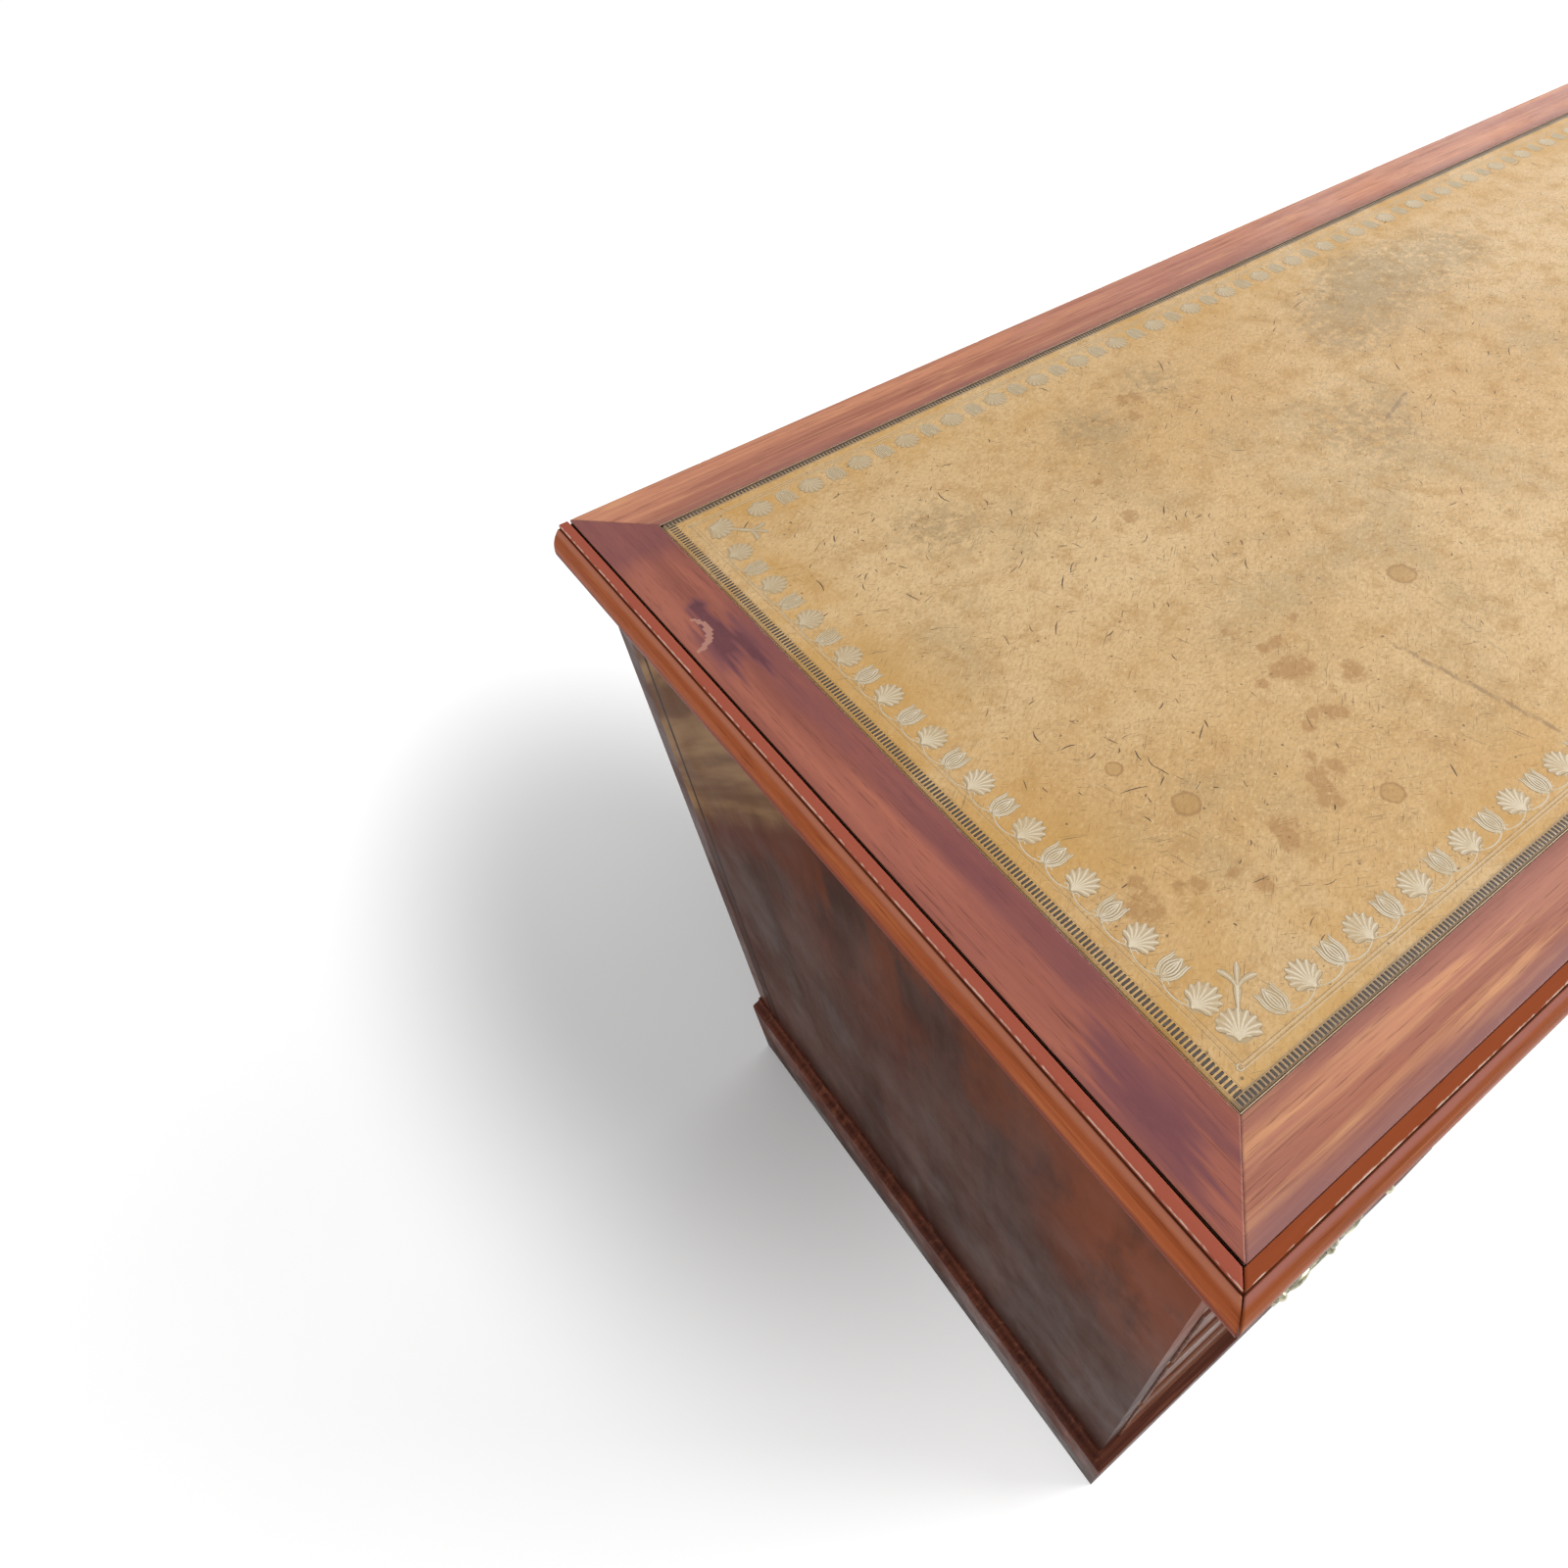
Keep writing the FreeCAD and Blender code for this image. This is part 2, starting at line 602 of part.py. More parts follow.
def make_post(label):
    """Turned post: shank, rose, neck and a ball head that is bored for the bail's pin."""
    body = new_body(label)
    tip = "(front_thickness + nut_thickness + shank_end)"
    meet = "sqrt(ball_radius * ball_radius - neck_radius * neck_radius)"
    corners = [
        ("0", tip),
        ("0", "-pivot_standoff - ball_radius"),
        ("neck_radius", f"{meet} - pivot_standoff"),
        ("neck_radius", "-rose_thickness"),
        ("rose_radius", "-rose_edge"),
        ("rose_radius", "0"),
        ("shank_radius", "0"),
        ("shank_radius", tip),
    ]
    ball = ball_arc(corners)
    profile = sketch_on(body, f"{label}_profile", "XY_Plane")
    draw(profile, ball[0], ball[1])
    turned = body.newObject("PartDesign::Revolution", f"{label}_turned")
    turned.Profile = profile
    turned.ReferenceAxis = (profile, ["V_Axis"])
    bore = sketch_on(body, f"{label}_bore", "YZ_Plane")
    circle(bore, "-pivot_standoff", "0", "pin_radius + pin_clearance")
    pocket(body, bore, through=True)
    return body


def ball_arc(corners):
    """Split the ball's outline at its widest point, so that each arc is under half a circle."""
    widest = ("ball_radius", "-pivot_standoff")
    split = corners[:2] + [widest] + corners[2:]
    return split, {1: ("ball_radius", 1), 2: ("ball_radius", 1)}


def make_nut(label):
    """Six-sided nut with a plain bore, lying against the back of the drawer front."""
    blank = doc.addObject("Part::Prism", f"{label}_blank")
    blank.Polygon = 6
    blank.setExpression("Circumradius", bound("nut_radius"))
    blank.setExpression("Height", bound("nut_thickness"))
    bore = doc.addObject("Part::Cylinder", f"{label}_bore")
    bore.setExpression("Radius", bound("shank_radius"))
    bore.setExpression("Height", bound("nut_thickness"))
    nut = doc.addObject("Part::Cut", label)
    nut.Base = blank
    nut.Tool = bore
    nut.Placement.Rotation = FreeCAD.Rotation(FreeCAD.Vector(1, 0, 0), -90)
    return nut


def make_posts(key, opening_height, handles, x, z):
    """All posts and nuts of one drawer."""
    pieces = []
    for number, middle in enumerate(handles, start=1):
        for side, sign in SIGNS.items():
            across = f"{x} + {middle} + {sign} * post_spacing / 2"
            up = f"{z} + {handle_height(opening_height)}"
            post = make_post(f"post_{key}_{number}_{side}")
            pieces.append(place(post, across, carcase_front, up))
            nut = make_nut(f"nut_{key}_{number}_{side}")
            pieces.append(place(nut, across, f"{carcase_front} + front_thickness", up))
    return group(f"posts_{key}", pieces)


def make_bail(label, x, z):
    """Swan-neck bail, hanging, its grip swollen in the middle. Its pivot is on the body's X axis,
    halfway between the posts."""
    body = new_body(label)
    arm = "(post_spacing / 2 + ball_radius + bail_gap + bail_radius)"
    across = "(swan_radius * (1 - cos(swan_turn * 1deg)))"
    along = "(swan_radius * sin(swan_turn * 1deg))"
    grip = f"-(bail_straight + 2 * {along} + bail_corner)"
    half = [
        (arm, "bail_head"),
        (arm, "-bail_straight"),
        (f"{arm} - {across}", f"-bail_straight - {along}"),
        (f"{arm} - 2 * {across}", f"-bail_straight - 2 * {along}"),
        (f"{arm} - 2 * {across} - bail_corner", grip),
    ]
    corners = [(f"-({across_at})", up) for across_at, up in half] + list(reversed(half))
    arcs = {
        1: ("swan_radius", 1), 2: ("swan_radius", -1), 3: ("bail_corner", 1),
        5: ("bail_corner", 1), 6: ("swan_radius", -1), 7: ("swan_radius", 1),
    }
    spine = sketch_on(body, f"{label}_spine", "XZ_Plane")
    draw(spine, corners, arcs, closed=False)
    section = sketch_on(body, f"{label}_section", "XY_Plane", "bail_head")
    circle(section, f"-{arm}", "0", "bail_radius")
    rod = body.newObject("PartDesign::AdditivePipe", f"{label}_rod")
    rod.Profile = section
    rod.Spine = (spine, [f"Edge{number + 1}" for number in range(len(corners) - 1)])
    swelling = sketch_on(body, f"{label}_swelling", "XZ_Plane")
    swelling.setExpression(".AttachmentOffset.Base.y", bound(grip))
    curve = "(grip_half * grip_half + grip_radius * grip_radius) / (2 * grip_radius)"
    draw(swelling, [("-grip_half", "0"), ("grip_half", "0")], {1: (curve, 1)})
    turned = body.newObject("PartDesign::Revolution", f"{label}_turned")
    turned.Profile = swelling
    turned.ReferenceAxis = (swelling, ["H_Axis"])
    pin = sketch_on(body, f"{label}_pin", "YZ_Plane", f"-{arm}")
    circle(pin, "0", "0", "pin_radius")
    pushed = pad(body, pin, f"{arm} - post_spacing / 2 + pin_past_middle")
    mirrored(body, [pushed])
    return place(body, x, f"{carcase_front} - pivot_standoff", z)


def make_drawers():
    openings = {
        "frieze": ("frieze_opening", frieze_floor),
        "upper": ("upper_opening", upper_floor),
        "middle": ("middle_opening", middle_floor),
        "lower": ("lower_opening", lower_floor),
    }
    wide = f"(2 * {kneehole_half})"
    wide_handle = f"({kneehole_half} * {WIDE_HANDLE_SHARE})"
    drawers = {"center_frieze": (wide, "frieze", "0", [f"-{wide_handle}", wide_handle])}
    for side, sign in SIGNS.items():
        for level in openings:
            drawers[f"{side}_{level}"] = (pedestal_inside, level, f"{sign} * {pedestal_middle}", ["0"])
    pieces = []
    for key, (width, level, x, handles) in drawers.items():
        height, floor = openings[level]
        pieces.append(place(make_front(key, width, height, handles), x, carcase_front, floor))
        pieces.append(make_box(key, width, height, x, floor))
        pieces.append(make_posts(key, height, handles, x, floor))
        names = [f"bail_{key}"] if len(handles) == 1 else [f"bail_{key}_left", f"bail_{key}_right"]
        for name, middle in zip(names, handles):
            pieces.append(make_bail(name, f"{x} + {middle}", f"{floor} + {handle_height(height)}"))
    return pieces


subparts = make_top() + make_edge_mouldings() + make_carcase() + make_plinths() + make_drawers()
doc.recompute()

for item in doc.Objects:
    if "Invalid" in item.State or "Error" in item.State:
        raise RuntimeError(f"{item.Label} failed: {item.State}")
for piece in subparts:
    if piece.Shape.isNull() or not piece.Shape.isValid():
        raise RuntimeError(f"{piece.Label} has no valid shape")

os.makedirs("parts", exist_ok=True)
for piece in subparts:
    piece.Shape.exportStep(f"parts/{piece.Label}.step")
print(len(subparts), "sub-parts written")
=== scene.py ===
import math
from collections import namedtuple

import bmesh
import bpy
import numpy as np
from mathutils import Matrix, Vector


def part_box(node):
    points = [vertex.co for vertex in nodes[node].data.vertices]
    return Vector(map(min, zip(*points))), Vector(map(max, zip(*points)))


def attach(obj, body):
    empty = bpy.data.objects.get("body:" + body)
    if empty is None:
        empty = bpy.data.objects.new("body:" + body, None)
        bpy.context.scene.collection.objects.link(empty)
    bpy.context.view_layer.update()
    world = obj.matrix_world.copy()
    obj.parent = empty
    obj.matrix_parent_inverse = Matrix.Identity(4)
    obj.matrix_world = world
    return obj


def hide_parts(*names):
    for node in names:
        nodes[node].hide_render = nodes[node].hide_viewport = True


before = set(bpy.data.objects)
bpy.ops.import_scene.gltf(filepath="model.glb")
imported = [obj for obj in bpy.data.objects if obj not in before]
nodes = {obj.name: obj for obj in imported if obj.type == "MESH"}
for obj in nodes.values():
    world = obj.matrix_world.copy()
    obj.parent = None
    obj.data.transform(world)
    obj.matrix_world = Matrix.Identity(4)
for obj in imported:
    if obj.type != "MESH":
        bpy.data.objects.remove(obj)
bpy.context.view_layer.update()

# Places of the top in millimetres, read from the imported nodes
MM = 0.001
low, high = (np.array(corner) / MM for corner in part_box("top_board"))
FRAME_LEFT, FRAME_FRONT, BOARD_TOP = low[0], low[1], high[2]
FRAME_RIGHT, FRAME_BACK = high[0], high[1]
low, high = (np.array(corner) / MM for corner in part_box("leather_inset"))
LEATHER_LEFT, LEATHER_FRONT = low[0], low[1]
LEATHER_RIGHT, LEATHER_BACK, LEATHER_TOP = high
LEATHER_FACE = LEATHER_TOP - 0.1
BORDER_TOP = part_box("crossband_front")[1][2] / MM
BORDER_WIDTH = LEATHER_LEFT - FRAME_LEFT
low, high = (np.array(corner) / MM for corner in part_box("edge_moulding_front"))
MOULDING_LOW, STRIP_TOP = low[2], high[2]
# Edge moulding: open joint beside the border at front and ends, flat strip, nose and its lower rounding
FRONT_CRACK, END_CRACK, STRIP_WIDTH, NOSE_WIDTH, NOSE_ROUND = 0.2, 1.5, 6.4, 8.7, 4.0
# Round water marks on the leather: place from the frame's front left corner, and radius
WATER_MARKS = ((142, 172, 8), (228, 111, 7), (368, 215, 9), (129, 212, 5), (905, 260, 8), (1180, 330, 7))


# Meshes worked out on grids

def grid_faces(rows, columns, wrap=False):
    """Four-sided faces between neighbouring points of a grid; wrap joins the last column to the first."""
    row = np.arange(rows - 1)[:, None]
    column = np.arange(columns if wrap else columns - 1)[None, :]
    after = (column + 1) % columns
    corners = [row * columns + column, row * columns + after,
               (row + 1) * columns + after, (row + 1) * columns + column]
    return np.stack(np.broadcast_arrays(*corners), -1).reshape(-1, 4)


def add_piece(name, points, faces, finish, stands_for=(), closed=False):
    """Mesh object of the carcase, from points in millimetres. A closed one gets its faces turned outwards."""
    mesh = bpy.data.meshes.new(name)
    mesh.from_pydata((np.asarray(points).reshape(-1, 3) * MM).tolist(), [], [list(face) for face in faces])
    if closed:
        shell = bmesh.new()
        shell.from_mesh(mesh)
        bmesh.ops.recalc_face_normals(shell, faces=shell.faces)
        shell.to_mesh(mesh)
        shell.free()
    mesh.shade_smooth()
    piece = bpy.data.objects.new(name, mesh)
    bpy.context.scene.collection.objects.link(piece)
    mesh.materials.append(finish)
    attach(piece, "carcase")
    if stands_for:
        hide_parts(*stands_for)
    return piece


def give_layer(piece, name, layer):
    """Number from 0 to 1 at each point of a piece, which its finish reads by name."""
    store = piece.data.attributes.new(name, "FLOAT", "POINT")
    store.data.foreach_set("value", np.clip(layer, 0, 1).ravel().astype(np.float32))


def waves(along, seed, longest=90.0, count=9):
    """Uneven line from -1 to 1: sines whose lengths shrink by 1.7 from the longest, at seeded phases."""
    rng = np.random.default_rng(seed)
    lengths = longest / 1.7 ** np.arange(count)
    phases = rng.uniform(0, 2 * np.pi, count)
    strengths = rng.uniform(0.5, 1, count)
    sines = np.sin(2 * np.pi * np.asarray(along)[..., None] / lengths + phases) * strengths
    return sines.sum(-1) / strengths.sum() * 1.6


def arc(middle, radius, start, end, count):
    """Points on a circle from the start angle to the end angle, in degrees."""
    angle = np.radians(np.linspace(start, end, count))
    return np.stack([middle[0] + radius * np.cos(angle), middle[1] + radius * np.sin(angle)], -1)


def straight_run(name, outline, origin, along, outward, reach, slopes, finish, stands_for, steps):
    """Outline carried along a straight line. It has profile points (distance outward, height), how far each
    wears down, and layers for the finish. Each line starts at the first reach less slope times its distance
    and ends at the second reach plus slope times it, so a slope of 1 makes a mitre. Wear lowers a point
    along an uneven line with chips, and the rubbed layer follows an uneven line too."""
    profile, worn, layers = outline
    out = profile[:, 0]
    first = reach[0] - slopes[0] * out
    last = reach[1] + slopes[1] * out
    share = np.linspace(0, 1, steps)[:, None]
    run = first + (last - first) * share
    seed = sum(map(ord, name))
    chips = np.clip(waves(run, seed) - 0.55, 0, None) * 2.2
    drop = worn * (chips + 0.12 * np.abs(waves(run, seed + 1, 300.0, 5)))
    points = (np.asarray(origin) + run[..., None] * np.asarray(along)
              + out[None, :, None] * np.asarray(outward))
    points[..., 2] += profile[:, 1] - drop
    count = len(profile)
    faces = grid_faces(steps, count, wrap=True).tolist()
    faces += [list(range(count)), list(range((steps - 1) * count, steps * count))]
    piece = add_piece(name, points, faces, finish, stands_for=stands_for, closed=True)
    patchy = np.clip(0.72 + 0.6 * waves(run, seed + 2, 130.0, 9), 0, 1)
    for layer, weights in layers.items():
        give_layer(piece, layer, weights * (patchy if layer == "rubbed" else np.ones_like(run)))
    return piece, points


# Node trees

class Recipe:
    """A material being mixed: each call adds nodes and returns the output that the next call uses."""

    def __init__(self, name):
        self.material = bpy.data.materials.new(name)
        self.material.use_nodes = True
        self.tree = self.material.node_tree
        self.shader = self.tree.nodes["Principled BSDF"]
        self.place = self.add("ShaderNodeTexCoord").outputs["Object"]

    def add(self, kind, sockets=None, **settings):
        node = self.tree.nodes.new(kind)
        for key, setting in settings.items():
            setattr(node, key, setting)
        for key, given in (sockets or {}).items():
            self.give(node.inputs[key], given)
        return node

    def give(self, socket, given):
        if isinstance(given, bpy.types.NodeSocket):
            self.tree.links.new(given, socket)
        elif isinstance(given, tuple) and len(given) == 3 and socket.type == "RGBA":
            socket.default_value = (*given, 1)
        else:
            socket.default_value = given

    def mapped(self, scale=(1, 1, 1), turn=(0, 0, 0), move=(0, 0, 0)):
        """Object coordinates on axes that are moved and turned, then stretched along those axes."""
        turned = tuple(math.radians(angle) for angle in turn)
        size = tuple(1 / number for number in scale)
        node = self.add("ShaderNodeMapping", vector_type="TEXTURE")
        for key, given in (("Vector", self.place), ("Scale", size), ("Rotation", turned), ("Location", move)):
            self.give(node.inputs[key], given)
        return node.outputs["Vector"]

    def noise(self, place, scale, detail=4, rough=0.5, bend=0.0):
        node = self.add("ShaderNodeTexNoise", {"Vector": place, "Scale": scale, "Detail": detail,
                                               "Roughness": rough, "Distortion": bend})
        return node.outputs["Fac"]

    def grained(self, axis, along, across, detail=4, rough=0.5, bend=0.0, move=(0, 0, 0)):
        """Noise stretched along the grain, which runs along one axis."""
        scale = tuple(along if letter == axis else across for letter in "xyz")
        return self.noise(self.mapped(scale, move=move), 1, detail, rough, bend)

    def spots(self, place, scale):
        return self.add("ShaderNodeTexVoronoi", {"Vector": place, "Scale": scale}).outputs["Distance"]

    def span(self, factor, low, high, to_low=0.0, to_high=1.0):
        node = self.add("ShaderNodeMapRange", {"Value": factor, "From Min": low, "From Max": high,
                                               "To Min": to_low, "To Max": to_high},
                        interpolation_type="SMOOTHSTEP")
        return node.outputs["Result"]

    def math(self, operation, first, second=0.0):
        node = self.add("ShaderNodeMath", operation=operation)
        self.give(node.inputs[0], first)
        self.give(node.inputs[1], second)
        return node.outputs[0]

    def times(self, *factors):
        product = factors[0]
        for factor in factors[1:]:
            product = self.math("MULTIPLY", product, factor)
        return product

    def mix(self, factor, first, second):
        node = self.add("ShaderNodeMix", data_type="RGBA")
        for index, given in ((0, factor), (6, first), (7, second)):
            self.give(node.inputs[index], given)
        return node.outputs[2]

    def tint(self, color, tone, factor, low, high, share):
        """Colour that turns to the tone, up to a share, while the factor goes from low to high."""
        return self.mix(self.span(factor, low, high, 0, share), color, tone)

    def axis(self, letter):
        return self.add("ShaderNodeSeparateXYZ", {"Vector": self.place}).outputs[letter]

    def away(self, spot):
        node = self.add("ShaderNodeVectorMath", operation="DISTANCE")
        self.give(node.inputs[0], self.place)
        self.give(node.inputs[1], spot)
        return node.outputs["Value"]

    def layer(self, name):
        return self.add("ShaderNodeAttribute", attribute_name=name).outputs["Fac"]

    def bump(self, height, strength, distance, before=None):
        node = self.add("ShaderNodeBump", {"Height": height, "Strength": strength, "Distance": distance})
        if before is not None:
            self.give(node.inputs["Normal"], before)
        return node.outputs["Normal"]

    def finish(self, color, roughness, normal=None, **constants):
        self.give(self.shader.inputs["Base Color"], color)
        self.give(self.shader.inputs["Roughness"], roughness)
        if normal is not None:
            self.give(self.shader.inputs["Normal"], normal)
        for key, given in constants.items():
            self.shader.inputs[key.replace("_", " ")].default_value = given
        return self.material


def shade(color, factor):
    """A colour made lighter or darker."""
    return tuple(tone * factor for tone in color)


def wood_figure(wood, axis, tones, cloud_share, move, streaky):
    """Colour of mahogany and its pores: broad figure, bands and fine streaks along the grain at the
    streaky share, clouds of another tone and short dark pores."""
    dark, middle, light, cloud = tones
    figure = wood.grained(axis, 2.2, 42, 5, 0.55, 0.8, move)
    bands = wood.grained(axis, 6, 115, 4, 0.6, 0.6, move)
    streaks = wood.grained(axis, 7, 420, 3, 0.6, move=move)
    pores = wood.grained(axis, 42, 1500, 2, move=move)
    broad = wood.grained(axis, 3, 9, 3, 0.5, 0.6, move)
    color = wood.mix(wood.span(figure, 0.34, 0.68), dark, middle)
    color = wood.tint(color, cloud, broad, 0.42, 0.66, cloud_share)
    color = wood.tint(color, light, bands, 0.52, 0.72, 0.75 * streaky)
    color = wood.tint(color, shade(dark, 0.8), bands, 0.46, 0.3, 0.65 * streaky)
    color = wood.tint(color, light, streaks, 0.5, 0.78, 0.55 * streaky)
    color = wood.tint(color, dark, streaks, 0.46, 0.26, 0.45 * streaky)
    pore = wood.span(pores, 0.58, 0.69)
    return wood.mix(wood.times(pore, 0.5), color, shade(dark, 0.4)), pore


def polished_wood(name, axis, tones, cloud_share, gloss, level, move=(0, 0, 0), marks=(), darker_below=None,
                  streaky=1.0):
    """Mahogany under polish, with fine scratches and a gloss that is smeared unevenly. Its tones are dark,
    middle, light and that of its clouds. Each mark is a layer of the piece, its tone and the strengths
    between which the tone comes in, ragged along the grain. Below a height, where one is given, the wood
    turns darker and greyer."""
    wood = Recipe(name)
    color, pore = wood_figure(wood, axis, tones, cloud_share, move, streaky)
    if marks:
        ragged = wood.grained(axis, 22, 50, 5, 0.7, move=move)
        uneven = wood.times(wood.math("SUBTRACT", ragged, 0.5), 0.5)
    for layer, tone, low, high in marks:
        strength = wood.math("ADD", wood.layer(layer), uneven)
        color = wood.mix(wood.span(strength, low, high, 0, 0.9), color, tone)
    # Darker and greyer towards the bottom, below the given height.
    if darker_below:
        darker_share = wood.span(wood.axis("Z"), darker_below, darker_below - 0.008, 0, 0.7)
        color = wood.mix(darker_share, color, (0.05, 0.04, 0.035))
    nicks = wood.span(wood.noise(wood.mapped((70, 70, 70), move=move), 6, 3, 0.7), 0.74, 0.8)
    color = wood.mix(wood.times(nicks, 0.35), color, shade(tones[2], 1.35))
    scratch = wood.noise(wood.mapped((900, 50, 50), (0, 0, 31), move), 1, 1)
    scuffs = wood.span(scratch, 0.7, 0.76)
    smear = wood.noise(wood.mapped(move=move), 14, 4, 0.6)
    rough = wood.math("ADD", wood.span(smear, 0.3, 0.75, gloss * 0.7, gloss * 1.7),
                      wood.times(wood.math("ADD", pore, scuffs), 0.12))
    swell = wood.grained(axis, 20, 90, 2, move=move)
    normal = wood.bump(swell, 0.1, 0.0006)
    normal = wood.bump(pore, 0.25, 0.00005, normal)
    return wood.finish(color, rough, normal, Specular_IOR_Level=level)


def left_end_veneer():
    """Veneer of the left end: dark, softly clouded with red and with a painted grey reflection that grows
    towards the bottom, warm under the moulding and most of all at the upper front corner, with a painted tan
    reflection in broad streaks behind a slanting line at the upper back corner and a dark rim along that
    line, a painted dark reflection of the plinth just above it, and dark along a joint near the back."""
    wood = Recipe("left_end_veneer")
    y, z = wood.axis("Y"), wood.axis("Z")
    clouds = wood.noise(wood.mapped((1, 11, 4)), 1, 4, 0.55, 0.4)
    grey = wood.noise(wood.mapped((1, 14, 5), move=(0, 2, 1)), 1, 4, 0.55, 0.3)
    russet = wood.noise(wood.mapped((1, 20, 8), move=(0, 3, 0)), 1, 4, 0.55)
    fine = wood.noise(wood.mapped((1, 90, 40)), 1, 4, 0.65)
    streaks = wood.noise(wood.mapped((1, 320, 7)), 1, 3, 0.6)
    pores = wood.span(wood.noise(wood.mapped((1, 1400, 42)), 1, 2), 0.58, 0.69)
    wander = wood.noise(wood.mapped((1, 32, 12)), 1, 4, 0.6)
    color = wood.mix(wood.span(clouds, 0.36, 0.64), (0.058, 0.024, 0.017), (0.104, 0.048, 0.037))
    # Painted reflection: grey clouds, stronger towards the bottom.
    color = wood.mix(wood.times(wood.span(grey, 0.46, 0.66), wood.span(z, 0.62, 0.35), 0.75), color,
                     (0.11, 0.072, 0.062))
    color = wood.tint(color, (0.088, 0.028, 0.019), grey, 0.44, 0.3, 0.7)
    high_up = wood.span(z, 0.42, 0.7)
    color = wood.mix(wood.times(wood.span(russet, 0.38, 0.6), high_up, 0.85), color, (0.158, 0.042, 0.016))
    color = wood.tint(color, (0.17, 0.075, 0.05), streaks, 0.52, 0.8, 0.15)
    color = wood.tint(color, (0.045, 0.02, 0.015), fine, 0.48, 0.68, 0.3)
    warm = wood.times(wood.span(y, -0.12, -0.235), wood.span(z, 0.38, 0.64), wood.span(wander, 0.26, 0.58))
    color = wood.mix(wood.times(warm, 0.85), color, (0.225, 0.062, 0.028))
    # Painted reflection: tan in broad streaks behind a slanting line at the upper back corner, with a dark
    # rim along the line.
    slant = wood.math("ADD", wood.times(y, 0.69), wood.times(z, 0.724))
    slant = wood.math("ADD", slant, wood.times(wood.math("SUBTRACT", wander, 0.5), 0.03))
    reflection_streaks = wood.noise(wood.mapped((1, 40, 3.2), (46.4, 0, 0)), 1, 3, 0.5)
    tan = wood.mix(wood.span(reflection_streaks, 0.34, 0.62), (0.145, 0.066, 0.031), (0.32, 0.18, 0.083))
    color = wood.mix(wood.span(slant, 0.524, 0.556), color, tan)
    rim = wood.times(wood.span(slant, 0.49, 0.528), wood.span(slant, 0.552, 0.528), 0.7)
    color = wood.mix(rim, color, (0.11, 0.032, 0.017))
    # Painted reflection of the plinth: darker just above it.
    color = wood.mix(wood.times(wood.span(z, 0.19, 0.125), 0.5), color, (0.036, 0.013, 0.01))
    joint = wood.times(wood.span(y, 0.2555, 0.258), wood.span(y, 0.263, 0.2605), 0.85)
    color = wood.mix(joint, color, (0.02, 0.011, 0.009))
    smear = wood.noise(wood.place, 14, 4, 0.6)
    return wood.finish(color, wood.span(smear, 0.3, 0.75, 0.3, 0.5), wood.bump(pores, 0.25, 0.00005),
                       Specular_IOR_Level=0.008)


def plain_wood(name, axis, dark, light, lipping=None):
    """Unpolished wood: annual streaks along the grain and short pores, dull. A lipping colour is given to
    what lies at the front of the carcase, where the edge of a board is faced."""
    wood = Recipe(name)
    rings = wood.grained(axis, 2.5, 70, 4, 0.6, 0.5)
    pores = wood.grained(axis, 30, 900, 2)
    dirt = wood.noise(wood.place, 9, 4, 0.6)
    color = wood.mix(wood.span(rings, 0.3, 0.7), dark, light)
    pore = wood.span(pores, 0.56, 0.7)
    color = wood.mix(wood.times(pore, 0.5), color, shade(dark, 0.45))
    color = wood.tint(color, shade(dark, 0.55), dirt, 0.5, 0.75, 0.35)
    rough = wood.span(pores, 0.3, 0.7, 0.55, 0.75)
    if lipping:
        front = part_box("dustboards_left")[0][1] + 0.008
        faced = wood.math("LESS_THAN", wood.axis("Y"), front)
        color = wood.mix(faced, color, wood.mix(wood.span(rings, 0.3, 0.7), lipping[0], lipping[1]))
        rough = wood.math("SUBTRACT", rough, wood.times(faced, 0.25))
    return wood.finish(color, rough, wood.bump(pore, 0.3, 0.0001), Specular_IOR_Level=0.15)


